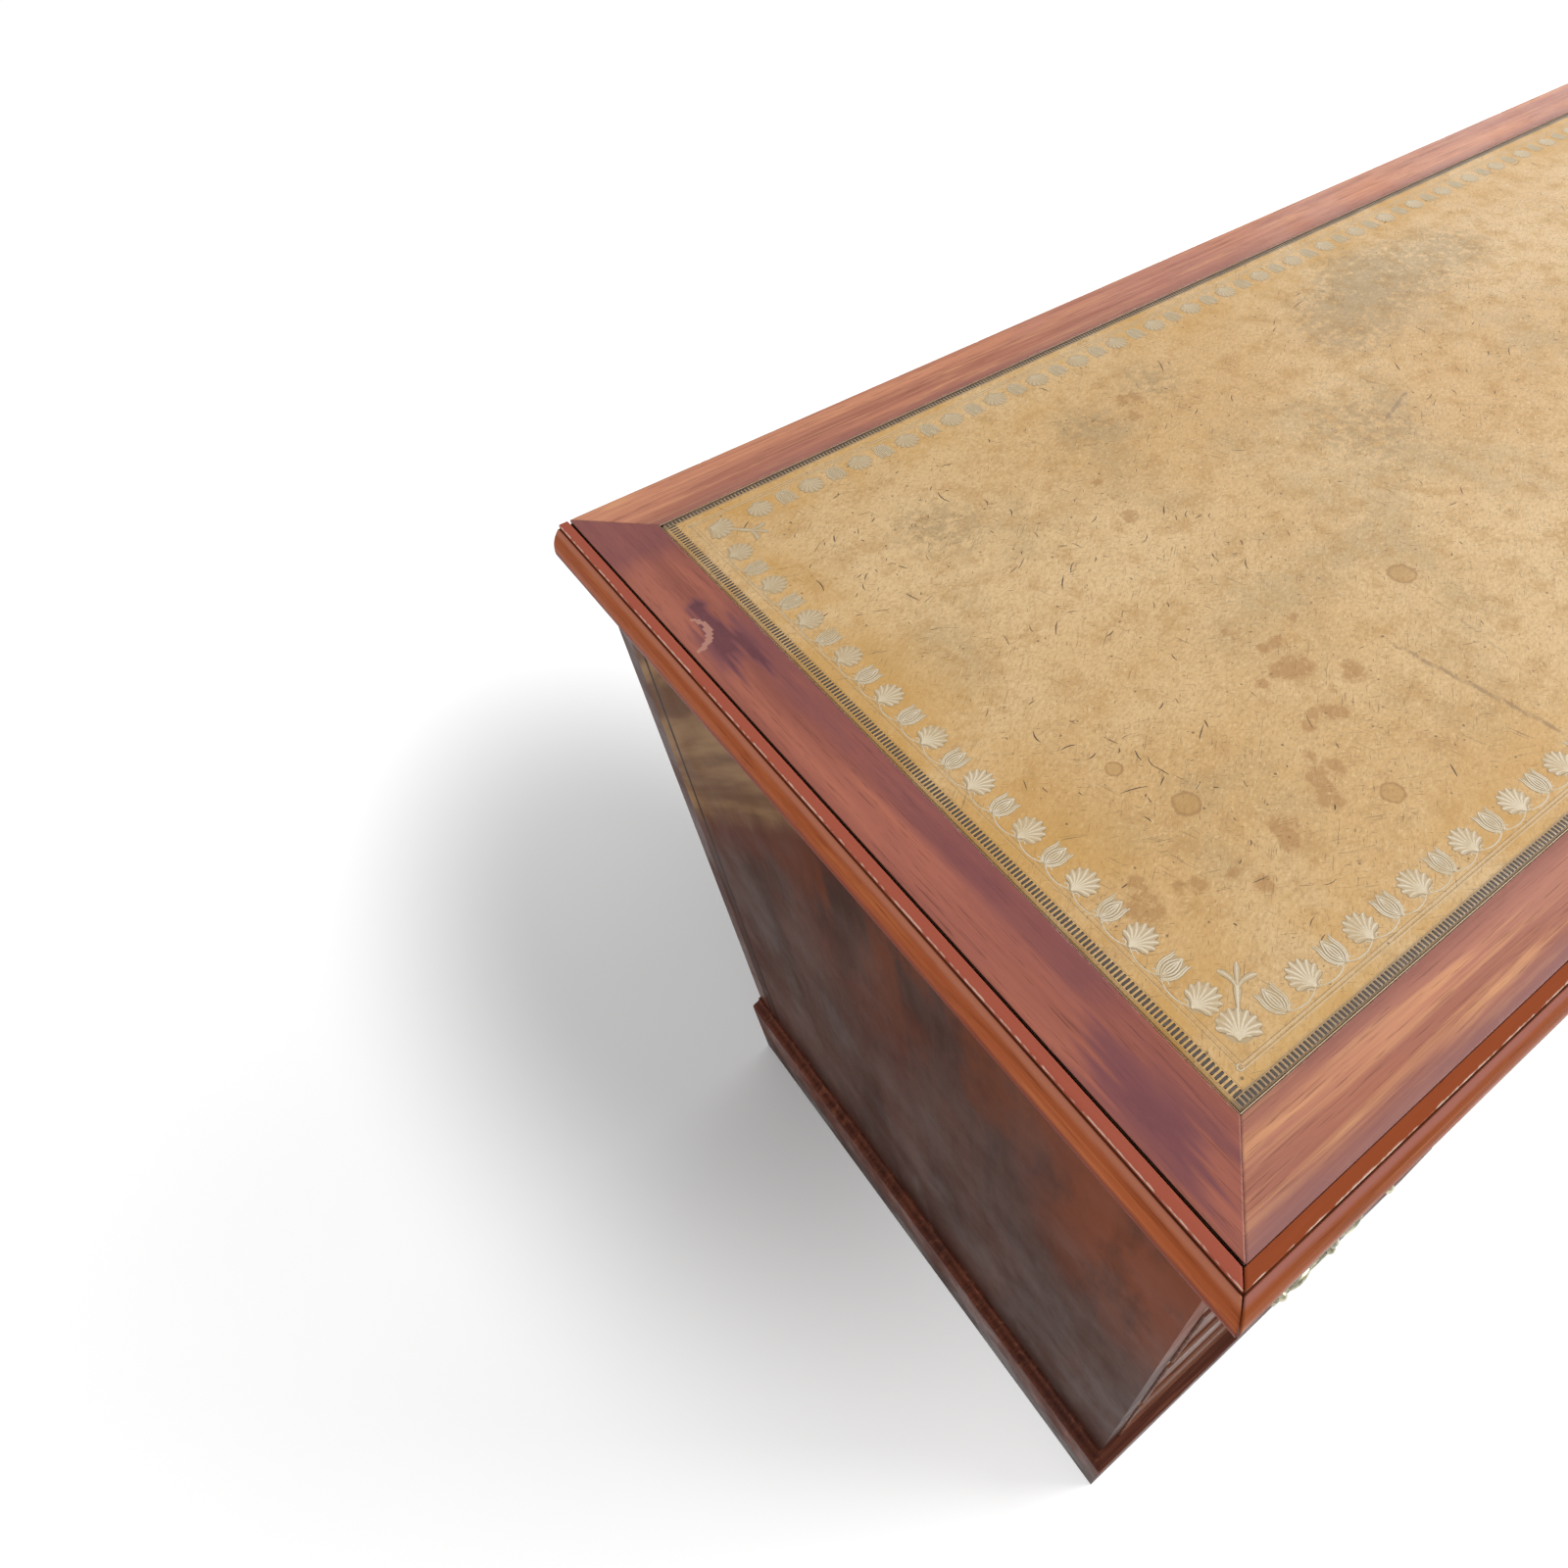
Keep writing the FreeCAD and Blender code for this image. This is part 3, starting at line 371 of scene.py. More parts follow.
def tan_hide():
    """Waxed tan hide: mottling at four sizes, golden towards its edge and darkened along front and back with
    grime and painted shade beside the border, dark flecks, pricked pores, faint scratches on three lines,
    ragged stains, bruises and creases from the piece's own layers, round water marks, and a pebbled surface."""
    hide = Recipe("tan_hide")
    broad = hide.noise(hide.place, 5, 5, 0.6, 0.4)
    olive = hide.noise(hide.mapped(move=(2, 1, 0)), 10, 6, 0.65, 0.3)
    patchy = hide.noise(hide.place, 48, 6, 0.7)
    fibres = hide.noise(hide.mapped((340, 640, 300), (0, 0, 24)), 1, 3, 0.7)
    torn = hide.noise(hide.place, 150, 6, 0.75)
    color = hide.mix(hide.span(broad, 0.33, 0.68), (0.65, 0.405, 0.17), (0.72, 0.5, 0.255))
    color = hide.tint(color, (0.47, 0.325, 0.155), olive, 0.48, 0.68, 0.6)
    color = hide.tint(color, (0.5, 0.28, 0.095), patchy, 0.46, 0.68, 0.6)
    color = hide.tint(color, (0.43, 0.26, 0.11), fibres, 0.48, 0.68, 0.5)
    color = hide.tint(color, (0.86, 0.66, 0.38), fibres, 0.46, 0.28, 0.45)
    for number, turn in enumerate((-35, 42)):
        flecks = hide.noise(hide.mapped((170, 1200, 500), (0, 0, turn), (0, number, 0)), 1, 2, 0.6)
        color = hide.tint(color, (0.2, 0.12, 0.055), flecks, 0.64, 0.71, 0.65)
    across = hide.math("SUBTRACT", LEATHER_RIGHT * MM, hide.math("ABSOLUTE", hide.axis("X")))
    front = hide.math("SUBTRACT", hide.axis("Y"), LEATHER_FRONT * MM)
    back = hide.math("SUBTRACT", LEATHER_BACK * MM, hide.axis("Y"))
    along = hide.math("MINIMUM", front, back)
    edge = hide.math("MINIMUM", across, along)
    worn = hide.times(hide.span(edge, 0.085, 0.02), hide.span(olive, 0.36, 0.6))
    color = hide.mix(hide.times(worn, 0.7), color, (0.6, 0.325, 0.075))
    # Grime and painted shade along the front and back edges, beside the border.
    grime_and_shade = hide.times(hide.span(along, 0.0085, 0.0055), hide.span(patchy, 0.25, 0.65, 0.5, 0.95))
    color = hide.mix(hide.times(grime_and_shade, 0.75), color, (0.24, 0.185, 0.135))
    for number, turn in enumerate((17, 64, 128)):
        lines = hide.noise(hide.mapped((1300, 45, 1), (0, 0, turn), (number, 0, 0)), 1, 2)
        gate = hide.noise(hide.mapped(move=(0, number, 0)), 26, 2)
        scratch = hide.times(hide.span(lines, 0.66, 0.72), hide.span(gate, 0.48, 0.6))
        color = hide.mix(hide.times(scratch, 0.6), color, (0.15, 0.095, 0.05))
    prick = hide.spots(hide.place, 150)
    chosen = hide.noise(hide.place, 190, 1)
    pricks = hide.times(hide.span(prick, 0.17, 0.08), hide.span(chosen, 0.54, 0.62))
    color = hide.mix(hide.times(pricks, 0.75), color, (0.13, 0.08, 0.045))
    for name, reach, tone in (("stain", 0.58, (0.39, 0.19, 0.06)), ("bruise", 0.45, (0.27, 0.195, 0.1))):
        amount = hide.times(hide.layer(name), hide.span(torn, 0.28, 0.66))
        color = hide.tint(color, tone, amount, 0.08, 0.5, reach)
    for x, y, radius in WATER_MARKS:
        spot = ((FRAME_LEFT + x) * MM, (FRAME_FRONT + y) * MM, LEATHER_FACE * MM)
        ratio = hide.math("ADD", hide.times(hide.away(spot), 1 / (radius * MM)), hide.times(torn, 0.7))
        color = hide.tint(color, (0.46, 0.255, 0.08), ratio, 1.42, 1.22, 0.5)
        rim = hide.times(hide.span(ratio, 1.05, 1.22), hide.span(ratio, 1.42, 1.28), 0.4)
        color = hide.mix(rim, color, (0.29, 0.145, 0.055))
    crease = hide.times(hide.layer("crease"), hide.span(torn, 0.25, 0.55))
    color = hide.tint(color, (0.24, 0.15, 0.08), crease, 0.2, 0.8, 0.55)
    rough = hide.span(patchy, 0.3, 0.7, 0.34, 0.55)
    pebble = hide.noise(hide.place, 800, 3, 0.6)
    normal = hide.bump(broad, 0.25, 0.004)
    normal = hide.bump(pebble, 0.35, 0.0004, normal)
    return hide.finish(color, rough, normal, Specular_IOR_Level=0.45)


def pressed_leaf(name, shaded_hollow, ground, pale, worn, crest):
    """Tooled ornament: pale between the two heights of its crests, with the film of the old leaf and a
    painted highlight, painted shade in the hollows, rubbed through to the hide in places and more so towards
    the back."""
    leaf = Recipe(name)
    raised = leaf.layer("raised")
    rubbed = leaf.noise(leaf.place, 70, 5, 0.7)
    fine = leaf.noise(leaf.place, 1300, 3, 0.7)
    # Painted shade in the hollows; pale on the crests, old leaf and a painted highlight.
    color = leaf.mix(leaf.span(raised, 0.05, 0.3), shaded_hollow, ground)
    color = leaf.mix(leaf.span(raised, *crest), color, pale)
    color = leaf.tint(color, worn, rubbed, 0.44, 0.7, 0.75)
    color = leaf.tint(color, worn, fine, 0.48, 0.7, 0.4)
    color = leaf.mix(leaf.span(leaf.axis("Y"), -0.1, 0.2, 0, 0.55), color, shade(worn, 0.85))
    return leaf.finish(color, leaf.span(fine, 0.3, 0.7, 0.36, 0.5), leaf.bump(fine, 0.2, 0.0001))


def drawn_line(name, tone, worn, dull):
    """Line pressed or scratched into the hide: one tone, worn through in places."""
    line = Recipe(name)
    rubbed = line.noise(line.place, 75, 5, 0.7)
    fine = line.noise(line.place, 1500, 3, 0.7)
    color = line.mix(line.span(rubbed, 0.46, 0.72, 0, 0.75), tone, worn)
    return line.finish(color, line.span(fine, 0.3, 0.7, dull, dull + 0.15), line.bump(fine, 0.2, 0.0001))


def aged_brass():
    """Old lacquered brass: pale grey-yellow metal, grey-green tarnish in patches, darker specks."""
    brass = Recipe("aged_brass")
    patches = brass.noise(brass.place, 70, 5, 0.65)
    specks = brass.noise(brass.place, 700, 3, 0.6)
    color = brass.mix(brass.span(patches, 0.38, 0.62), (0.6, 0.57, 0.41), (0.25, 0.24, 0.165))
    color = brass.tint(color, (0.12, 0.12, 0.09), specks, 0.55, 0.75, 0.6)
    rough = brass.span(patches, 0.3, 0.7, 0.28, 0.48)
    return brass.finish(color, rough, brass.bump(specks, 0.15, 0.0001), Metallic=1.0)


# Finishes, and which node gets which

# Near black in the open joints, in the quirk and under the nose: dirt and painted shade.
joint_dirt_and_shade = ("dirt", (0.012, 0.008, 0.008), 0.35, 0.9)
border_marks = (("rubbed", (0.66, 0.49, 0.37), 0.35, 0.9), joint_dirt_and_shade)
# On the mouldings the rubbed tone is pale wear and a painted highlight on the strip's arris.
moulding_marks = (("rubbed", (0.74, 0.55, 0.44), 0.35, 0.9), joint_dirt_and_shade)
border_long = polished_wood(
    "border_long", "x",
    ((0.39, 0.142, 0.092), (0.62, 0.26, 0.15), (0.77, 0.39, 0.195), (0.46, 0.205, 0.17)), 0.5, 0.26, 0.2,
    marks=(("outer", (0.3, 0.138, 0.132), 0.2, 1.0), ("inner", (0.28, 0.112, 0.096), 0.2, 1.1),
           *border_marks))
border_cross = polished_wood(
    "border_cross", "y",
    ((0.29, 0.092, 0.066), (0.44, 0.146, 0.096), (0.55, 0.185, 0.105), (0.32, 0.104, 0.086)), 0.5, 0.26, 0.2,
    (0.3, 0.1, 0),
    (("patch", (0.19, 0.066, 0.078), 0.1, 0.95), ("patch", (0.092, 0.032, 0.04), 0.8, 1.2),
     ("chip", (0.48, 0.235, 0.18), 0.4, 0.7), *border_marks), streaky=0.45)
# On both mouldings the upper nose gets a painted highlight and its under side painted shade, as layers of
# their own.
moulding_long = polished_wood(
    "moulding_long", "x",
    ((0.31, 0.078, 0.024), (0.43, 0.12, 0.04), (0.54, 0.175, 0.058), (0.36, 0.092, 0.034)), 0.5, 0.22, 0.02,
    marks=(("strip", (0.3, 0.068, 0.025), 0.3, 0.7), ("nose_highlight", (0.38, 0.15, 0.118), 0.2, 0.9),
           ("nose_shade", (0.22, 0.048, 0.018), 0.2, 0.9), *moulding_marks))
moulding_cross = polished_wood(
    "moulding_cross", "y",
    ((0.34, 0.078, 0.026), (0.46, 0.122, 0.042), (0.56, 0.18, 0.062), (0.38, 0.09, 0.036)), 0.5, 0.22, 0.02,
    marks=(("strip", (0.38, 0.094, 0.062), 0.3, 0.7), ("nose_highlight", (0.5, 0.185, 0.11), 0.2, 0.9),
           ("nose_shade", (0.2, 0.03, 0.012), 0.2, 0.9), *moulding_marks))
left_end = left_end_veneer()
end_veneer = polished_wood(
    "end_veneer", "z",
    ((0.075, 0.03, 0.022), (0.125, 0.05, 0.034), (0.175, 0.072, 0.042), (0.08, 0.042, 0.038)), 0.7, 0.3, 0.03)
front_veneer = polished_wood(
    "front_veneer", "x",
    ((0.13, 0.05, 0.031), (0.22, 0.092, 0.056), (0.32, 0.155, 0.095), (0.14, 0.056, 0.04)), 0.6, 0.3, 0.008)
plinth_wood = polished_wood(
    "plinth_wood", "x",
    ((0.08, 0.026, 0.017), (0.14, 0.042, 0.025), (0.23, 0.085, 0.048), (0.09, 0.034, 0.026)), 0.6, 0.35, 0.02,
    darker_below=0.05)
carcase_wood = plain_wood("carcase_wood", "x", (0.2, 0.1, 0.045), (0.33, 0.19, 0.09),
                          ((0.15, 0.06, 0.036), (0.26, 0.115, 0.068)))
lining_oak = plain_wood("lining_oak", "y", (0.3, 0.18, 0.085), (0.46, 0.31, 0.165))
hide = tan_hide()
palmette_leaf = pressed_leaf("palmette_leaf", (0.22, 0.15, 0.08), (0.55, 0.425, 0.27), (0.8, 0.69, 0.51),
                             (0.54, 0.395, 0.21), (0.6, 0.95))
bud_leaf = pressed_leaf("bud_leaf", (0.2, 0.145, 0.082), (0.42, 0.325, 0.2), (0.8, 0.7, 0.53),
                        (0.54, 0.395, 0.21), (0.35, 0.75))
flower_ground = drawn_line("flower_ground", (0.49, 0.355, 0.195), (0.57, 0.395, 0.19), 0.42)
pale_line = drawn_line("pale_line", (0.64, 0.5, 0.32), (0.52, 0.36, 0.18), 0.4)
dark_line = drawn_line("dark_line", (0.24, 0.165, 0.1), (0.46, 0.31, 0.15), 0.45)
ladder_line = drawn_line("ladder_line", (0.08, 0.06, 0.048), (0.155, 0.112, 0.078), 0.5)
scratch_line = drawn_line("scratch_line", (0.085, 0.055, 0.035), (0.2, 0.125, 0.065), 0.5)
brass = aged_brass()

for label, node in nodes.items():
    if label.startswith(("posts_", "bail_")):
        finish = brass
    elif label.startswith("box_"):
        finish = lining_oak
    elif label.startswith("front_"):
        finish = front_veneer
    elif label.startswith("plinth_"):
        finish = plinth_wood
    elif label.startswith(("dustboards_", "top_", "kneehole_")):
        finish = carcase_wood
    else:
        finish = left_end if label == "end_left" else end_veneer
    for place in range(len(node.material_slots)):
        node.material_slots[place].material = finish


# Border and mouldings of the top

def border_outline(outer_share, inner_share, strips=24):
    """Closed outline of a border piece: flat below, edges rounded by half a millimetre, top face in strips.
    Its outer and inner layers fade over two fifths from either edge, and the inner arris is rubbed."""
    edge = 0.5
    flat = np.linspace(-edge, edge - BORDER_WIDTH, strips + 1)
    outer = arc((-edge, BORDER_TOP - edge), edge, 0, 90, 5)[:-1]
    inner = arc((edge - BORDER_WIDTH, BORDER_TOP - edge), edge, 90, 180, 5)[1:]
    top = np.stack([flat, np.full(strips + 1, BORDER_TOP)], -1)
    foot = [(-BORDER_WIDTH, BOARD_TOP), (0, BOARD_TOP)]
    profile = np.concatenate([outer, top, inner, foot])
    worn, rubbed, dirt = np.zeros((3, len(profile)))
    worn[1:5] = 0.35
    worn[strips + 4:strips + 8] = 0.25
    rubbed[2:5] = 0.4
    rubbed[strips + 4:strips + 7] = 0.5
    # The outer face, in the open joint, is near black: dirt and painted shade.
    dirt[[0, -1]] = 0.8
    outer_fade = outer_share * np.clip(1 + profile[:, 0] / (0.4 * BORDER_WIDTH), 0, 1)
    inner_fade = inner_share * np.clip(-1.5 - profile[:, 0] / (0.4 * BORDER_WIDTH), 0, 1)
    return profile, worn, {"outer": outer_fade, "inner": inner_fade, "rubbed": rubbed, "dirt": dirt}


def moulding_outline(crack):
    """Closed outline of the edge moulding: under side, nose with its thumb curve, quirk, flat strip and the
    opened joint beside the border. Dirt and painted shade lie in quirk, joint and under the nose, the
    strip's arris is pale with wear and a painted highlight, the strip has a layer of its own, the top of the
    nose a painted highlight and its foot painted shade."""
    strip = crack + STRIP_WIDTH
    reach = strip + NOSE_WIDTH
    nose_low = MOULDING_LOW + NOSE_ROUND
    quirk, quirk_depth, crest_drop, lip_round, back_round, crack_depth = 1.0, 0.4, 1.6, 0.5, 0.3, 3
    wide, tall = NOSE_WIDTH, STRIP_TOP - crest_drop - nose_low
    radius = (wide * wide + tall * tall) / (2 * wide)
    turn = math.degrees(math.acos((radius - wide + quirk) / radius))
    under = arc((reach - NOSE_ROUND, nose_low), NOSE_ROUND, -90, 0, 6)
    thumb = arc((reach - radius, nose_low), radius, 0, turn, 22)[1:]
    bed = thumb[-1, 1] - quirk_depth
    step = [(strip + quirk - 0.3, bed), (strip + 0.25, bed), (strip, bed + quirk_depth)]
    lip = arc((strip - lip_round, STRIP_TOP - lip_round), lip_round, 0, 90, 5)
    level = STRIP_WIDTH - lip_round - back_round
    flat = [(strip - lip_round - share * level, STRIP_TOP) for share in (0.25, 0.5, 0.75, 0.94)]
    back = arc((crack + back_round, STRIP_TOP - back_round), back_round, 90, 180, 4)
    groove = [(crack, STRIP_TOP - crack_depth), (0, STRIP_TOP - crack_depth), (0, MOULDING_LOW)]
    parts = [under, thumb, step, lip, flat, back, groove]
    profile = np.concatenate(parts)
    start = np.cumsum([0] + [len(part) for part in parts])
    worn, dirt, rubbed, strip_layer, nose_highlight, nose_shade = np.zeros((6, len(profile)))
    worn[start[3]:start[4]] = 0.25
    worn[start[5]:start[6]] = 0.35
    # Dirt and painted shade under the nose, in the quirk and in the open joint.
    dirt[:3] = 0.5
    dirt[start[2]:start[3]] = (0.6, 0.8, 0.8)
    dirt[start[6] - 2:] = 0.95
    dirt[start[6] - 2] = 0.5
    strip_layer[start[3]:start[6]] = 1
    # Painted highlight on the top of the nose; painted shade on its under side and foot.
    nose_highlight[start[1]:start[2]] = np.clip(np.linspace(-2.2, 1.3, start[2] - start[1]), 0, 1)
    nose_shade[:start[1]] = 1
    nose_shade[start[1]:start[2]] = np.clip(np.linspace(1, -2, start[2] - start[1]), 0, 1)
    # The strip's arris is pale with wear and a painted highlight.
    rubbed[start[3]:start[4]] = (0.5, 0.8, 1, 1, 0.6)
    rubbed[start[5]:start[5] + 2] = 0.4
    layers = {"dirt": dirt, "rubbed": rubbed, "strip": strip_layer, "nose_highlight": nose_highlight, "nose_shade": nose_shade}
    return profile, worn, layers


def patches(points):
    """Violet patches of the left border, soft ended along the grain, a fainter band on its inner side, a dark
    notch, and its pale crescent chip: what lies inside one circle and outside another of the same radius."""
    x, y = points[..., 0] - FRAME_LEFT, points[..., 1] - FRAME_FRONT
    wander = 18 * waves(x, 31, 23.0, 4)
    near_front = np.clip((y + wander - 20) / 22, 0, 1) * np.clip((122 - y - wander) / 30, 0, 1)
    near_back = np.clip((y + wander - 388) / 22, 0, 1) * np.clip((458 - y - wander) / 18, 0, 1)
    front_share = 0.85 * np.clip(1.25 - np.abs(x - 15) / 24, 0, 1)
    back_share = 1.2 * np.clip(1.3 - np.abs(x - 22) / 18, 0, 1)
    inner = 0.55 * np.clip((x - 15) / 14, 0, 1) * np.clip((y - 70) / 60, 0, 1) * np.clip((480 - y) / 60, 0, 1)
    corner = np.clip((y - 500) / 30, 0, 1) * 0.6
    notch = 1.3 * np.exp(-((x - 23) ** 2 + (y - 462) ** 2) / 6 ** 2)
    inside = np.hypot(x - 3.5, y - 442.5) < 16.5
    outside = np.hypot(x + 0.5, y - 445) > 16.5
    patch = np.maximum(near_front * front_share + near_back * back_share + corner + notch, inner)
    return patch, inside & outside & (x > 3)


ENDS = (("left", FRAME_LEFT, -1), ("right", FRAME_RIGHT, 1))
gap = 0.12
long_reach = (FRAME_LEFT + gap, FRAME_RIGHT - gap)
cross_reach = (FRAME_FRONT + gap, FRAME_BACK - gap)
for name, y, way, shares in (("front", FRAME_FRONT, -1, (1, 0.8)), ("back", FRAME_BACK, 1, (0.2, 0.9))):
    straight_run(f"border_{name}", border_outline(*shares), (0, y, 0), (1, 0, 0), (0, way, 0), long_reach,
                 (1, 1), border_long, [f"crossband_{name}"], 900)
for name, x, way in ENDS:
    piece, points = straight_run(f"border_{name}", border_outline(0, 0), (x, 0, 0), (0, 1, 0), (way, 0, 0),
                                 cross_reach, (1, 1), border_cross, [f"crossband_{name}"], 420)
    if name == "left":
        patch, chip = patches(points)
        give_layer(piece, "patch", patch)
        give_layer(piece, "chip", chip)

lead, mitre_gap = END_CRACK - FRONT_CRACK, 0.64
front_reach = (FRAME_LEFT - lead + mitre_gap, FRAME_RIGHT + lead - mitre_gap)
straight_run("moulding_front", moulding_outline(FRONT_CRACK), (0, FRAME_FRONT, 0), (1, 0, 0), (0, -1, 0),
             front_reach, (1, 1), moulding_long, ["edge_moulding_front"], 900)
end_reach = (FRAME_FRONT + lead + mitre_gap, FRAME_BACK)
for name, x, way in ENDS:
    straight_run(f"moulding_{name}", moulding_outline(END_CRACK), (x, 0, 0), (0, 1, 0), (way, 0, 0),
                 end_reach, (1, 0), moulding_cross, [f"edge_moulding_{name}"], 420)


# Leather

def near(x, y, spots):
    """Sum of soft round spots, each (x, y, radius), with x and y from the frame's front left corner: one at
    the middle, falling off as a bell curve."""
    total = np.zeros_like(x)
    for middle_x, middle_y, radius in spots:
        away = np.hypot(x - FRAME_LEFT - middle_x, y - FRAME_FRONT - middle_y) / radius
        total += np.exp(-away ** 2)
    return total


def cluster(middle_x, middle_y, spread, sizes, seed):
    """Seeded spots round a place."""
    rng = np.random.default_rng(seed)
    places = rng.normal(0, spread, (len(sizes), 2))
    return [(middle_x + dx, middle_y + dy, size) for (dx, dy), size in zip(places, sizes)]


def along_line(x, y, start, end, width):
    """Bell curve across a line from start to end, with x and y from the frame's front left corner."""
    start, end = np.array(start, float), np.array(end, float)
    way = end - start
    dx, dy = x - FRAME_LEFT - start[0], y - FRAME_FRONT - start[1]
    share = np.clip((dx * way[0] + dy * way[1]) / (way @ way), 0, 1)
    away = np.hypot(dx - share * way[0], dy - share * way[1])
    return np.exp(-(away / width) ** 2)


# Marks on the hide, placed from the frame's front left corner. Stains are clusters of spots: middle, spread
# and the spots' sizes. Splashes and bruises are single spots: middle and size. Creases run from one place
# to another, with a width and a strength.
STAINS = ((258, 208, 11, (8, 7, 7, 5, 5, 5, 4, 4)), (272, 224, 10, (5, 4, 4, 3)),
          (208, 140, 9, (7, 6, 6, 5, 4)), (160, 116, 9, (7, 6, 5, 5, 4)), (288, 376, 18, (4, 4, 5, 4, 3)),
          (96, 146, 8, (7, 6, 5, 5)), (118, 132, 9, (5, 4, 4)), (384, 455, 20, (7, 6, 6)),
          (860, 180, 30, (8, 7, 6, 5, 6)), (1120, 300, 35, (7, 6, 5, 6)), (1290, 140, 25, (6, 5, 5)))
SPLASHES = [(247, 168, 5), (238, 173, 5), (230, 168, 4), (252, 163, 4), (262, 178, 3)]
BRUISES = [(600, 440, 48), (680, 450, 52), (640, 466, 40), (740, 452, 36), (402, 466, 30), (560, 420, 40),
           (330, 452, 30), (470, 330, 60), (180, 430, 40), (980, 380, 70), (1220, 420, 60)]
CREASES = (((315, 178), (330, 82), 1.8, 1), ((492, 325), (528, 337), 1.8, 1),
           ((356, 128), (366, 205), 1.6, 0.6), ((540, 310), (600, 245), 1.5, 0.7),
           ((980, 420), (1040, 250), 1.6, 0.8))


def make_leather():
    """Hide on a 2.9 mm grid that swells by a tenth of a millimetre, its edge turned down into the border."""
    x = np.linspace(LEATHER_LEFT, LEATHER_RIGHT, 490)
    y = np.linspace(LEATHER_FRONT, LEATHER_BACK, 195)
    x, y = np.meshgrid(x, y, indexing="ij")
    swell = waves(x + 0.4 * y, 11, 260.0, 5) * waves(y - 0.3 * x, 12, 190.0, 5)
    edge = np.minimum(np.minimum(x - LEATHER_LEFT, LEATHER_RIGHT - x),
                      np.minimum(y - LEATHER_FRONT, LEATHER_BACK - y))
    z = LEATHER_FACE + 0.1 * swell * np.clip((edge - 38) / 60, 0, 1)
    z[edge < 0.01] = BOARD_TOP
    rows, columns = x.shape
    index = np.arange(rows * columns).reshape(rows, columns)
    rim = np.concatenate([index[:, 0], index[-1, 1:], index[-2::-1, -1], index[0, -2:0:-1]])
    faces = grid_faces(rows, columns).tolist() + [rim.tolist()]
    piece = add_piece("leather", np.stack([x, y, z], -1), faces, hide,
                      stands_for=["leather_inset"], closed=True)
    stained = [spot for seed, mark in enumerate(STAINS, 3) for spot in cluster(*mark, seed)]
    stain = near(x, y, stained + SPLASHES)
    bruise = near(x, y, BRUISES) * 0.55
    crease = sum(strength * along_line(x, y, start, end, width) for start, end, width, strength in CREASES)
    for name, layer in (("stain", stain), ("bruise", bruise), ("crease", crease)):
        give_layer(piece, name, layer)


make_leather()


# Tooling: strokes are ridges along a line, three points wide

def strokes(lines, widths, height, low=-0.05):
    """Ridges along lines. lines is (count, points, 2) and widths (count, points) in millimetres. The ridge's
    middle stands up by the height and its two edges by the low height."""
    ahead = np.gradient(lines, axis=1)
    ahead /= np.linalg.norm(ahead, axis=2, keepdims=True) + 1e-9
    left = np.stack([-ahead[..., 1], ahead[..., 0]], -1) * widths[..., None] / 2
    flat = np.stack([lines - left, lines, lines + left], 2)
    rise = np.broadcast_to(np.array([low, height, low]), flat.shape[:3])
    return np.concatenate([flat, rise[..., None]], -1)


def on_leather(name, points, faces, finish):
    """Piece from points whose heights count from the face of the leather; faces that look down are turned."""
    points, faces = np.asarray(points).reshape(-1, 3), np.asarray(faces)
    first, second = points[faces[:, 1]] - points[faces[:, 0]], points[faces[:, 2]] - points[faces[:, 0]]
    down = first[:, 0] * second[:, 1] - first[:, 1] * second[:, 0] < 0
    faces[down] = faces[down, ::-1]
    return add_piece(name, points + (0, 0, LEATHER_FACE), faces, finish)


def add_strokes(name, stack, finish):
    """One piece from a stack of strokes, laid on the leather, with its ridges in the raised layer."""
    count, points, across = stack.shape[:3]
    first = np.arange(count)[:, None, None] * points * across
    faces = (grid_faces(points, across)[None] + first).reshape(-1, 4)
    piece = on_leather(name, stack, faces, finish)
    give_layer(piece, "raised", np.broadcast_to(np.array([0.0, 1.0, 0.0]), stack.shape[:3]))


def leaf_lines(angles, lengths, base, curl, points=6):
    """Middle lines of leaves in a fan. A line starts at the base, sets off at a third of its angle from
    upright and turns to curl times that angle."""
    share = np.linspace(0, 1, points)
    angles = np.radians(np.asarray(angles, float))[:, None]
    heading = angles * (0.33 + (curl - 0.33) * share)
    step = np.asarray(lengths, float)[:, None] / (points - 1)
    x = np.concatenate([np.zeros((len(angles), 1)), np.cumsum(np.sin(heading[:, :-1]) * step, 1)], 1)
    y = np.concatenate([np.zeros((len(angles), 1)), np.cumsum(np.cos(heading[:, :-1]) * step, 1)], 1)
    return np.stack([x, y], -1) + np.asarray(base, float)


def leaf_widths(lines, widths):
    """Width along each leaf: growing from a fifth at the base, rounded off over the last third to the tip."""
    share = np.linspace(0, 1, lines.shape[1])
    swell = (0.22 + 0.78 * share) * np.sqrt(1 - 0.85 * ((share - 0.7) / 0.3).clip(0, 1) ** 2)
    return np.resize(np.asarray(widths, float), len(lines))[:, None] * swell


def palmette():
    """Middle lines of a nine-leaved palmette on its base line, upright, about 19 wide and 17 high."""
    angles = [-96, -72, -48, -24, 0, 24, 48, 72, 96]
    lengths = [9.8, 12.4, 14.4, 15.6, 16.2, 15.6, 14.4, 12.4, 9.8]
    return leaf_lines(angles, lengths, (0, 1.2), 1.1)


def palmette_ground():
    """Scalloped outline of the palmette: the tips of its leaves, with a notch between neighbours."""
    tips = palmette()[:, -1]
    rim = np.empty((2 * len(tips) - 1, 2))
    rim[::2] = tips
    rim[1::2] = (tips[1:] + tips[:-1]) / 2 * 0.88
    return np.concatenate([[(-1.8, 0.2)], rim, [(1.8, 0.2)]])


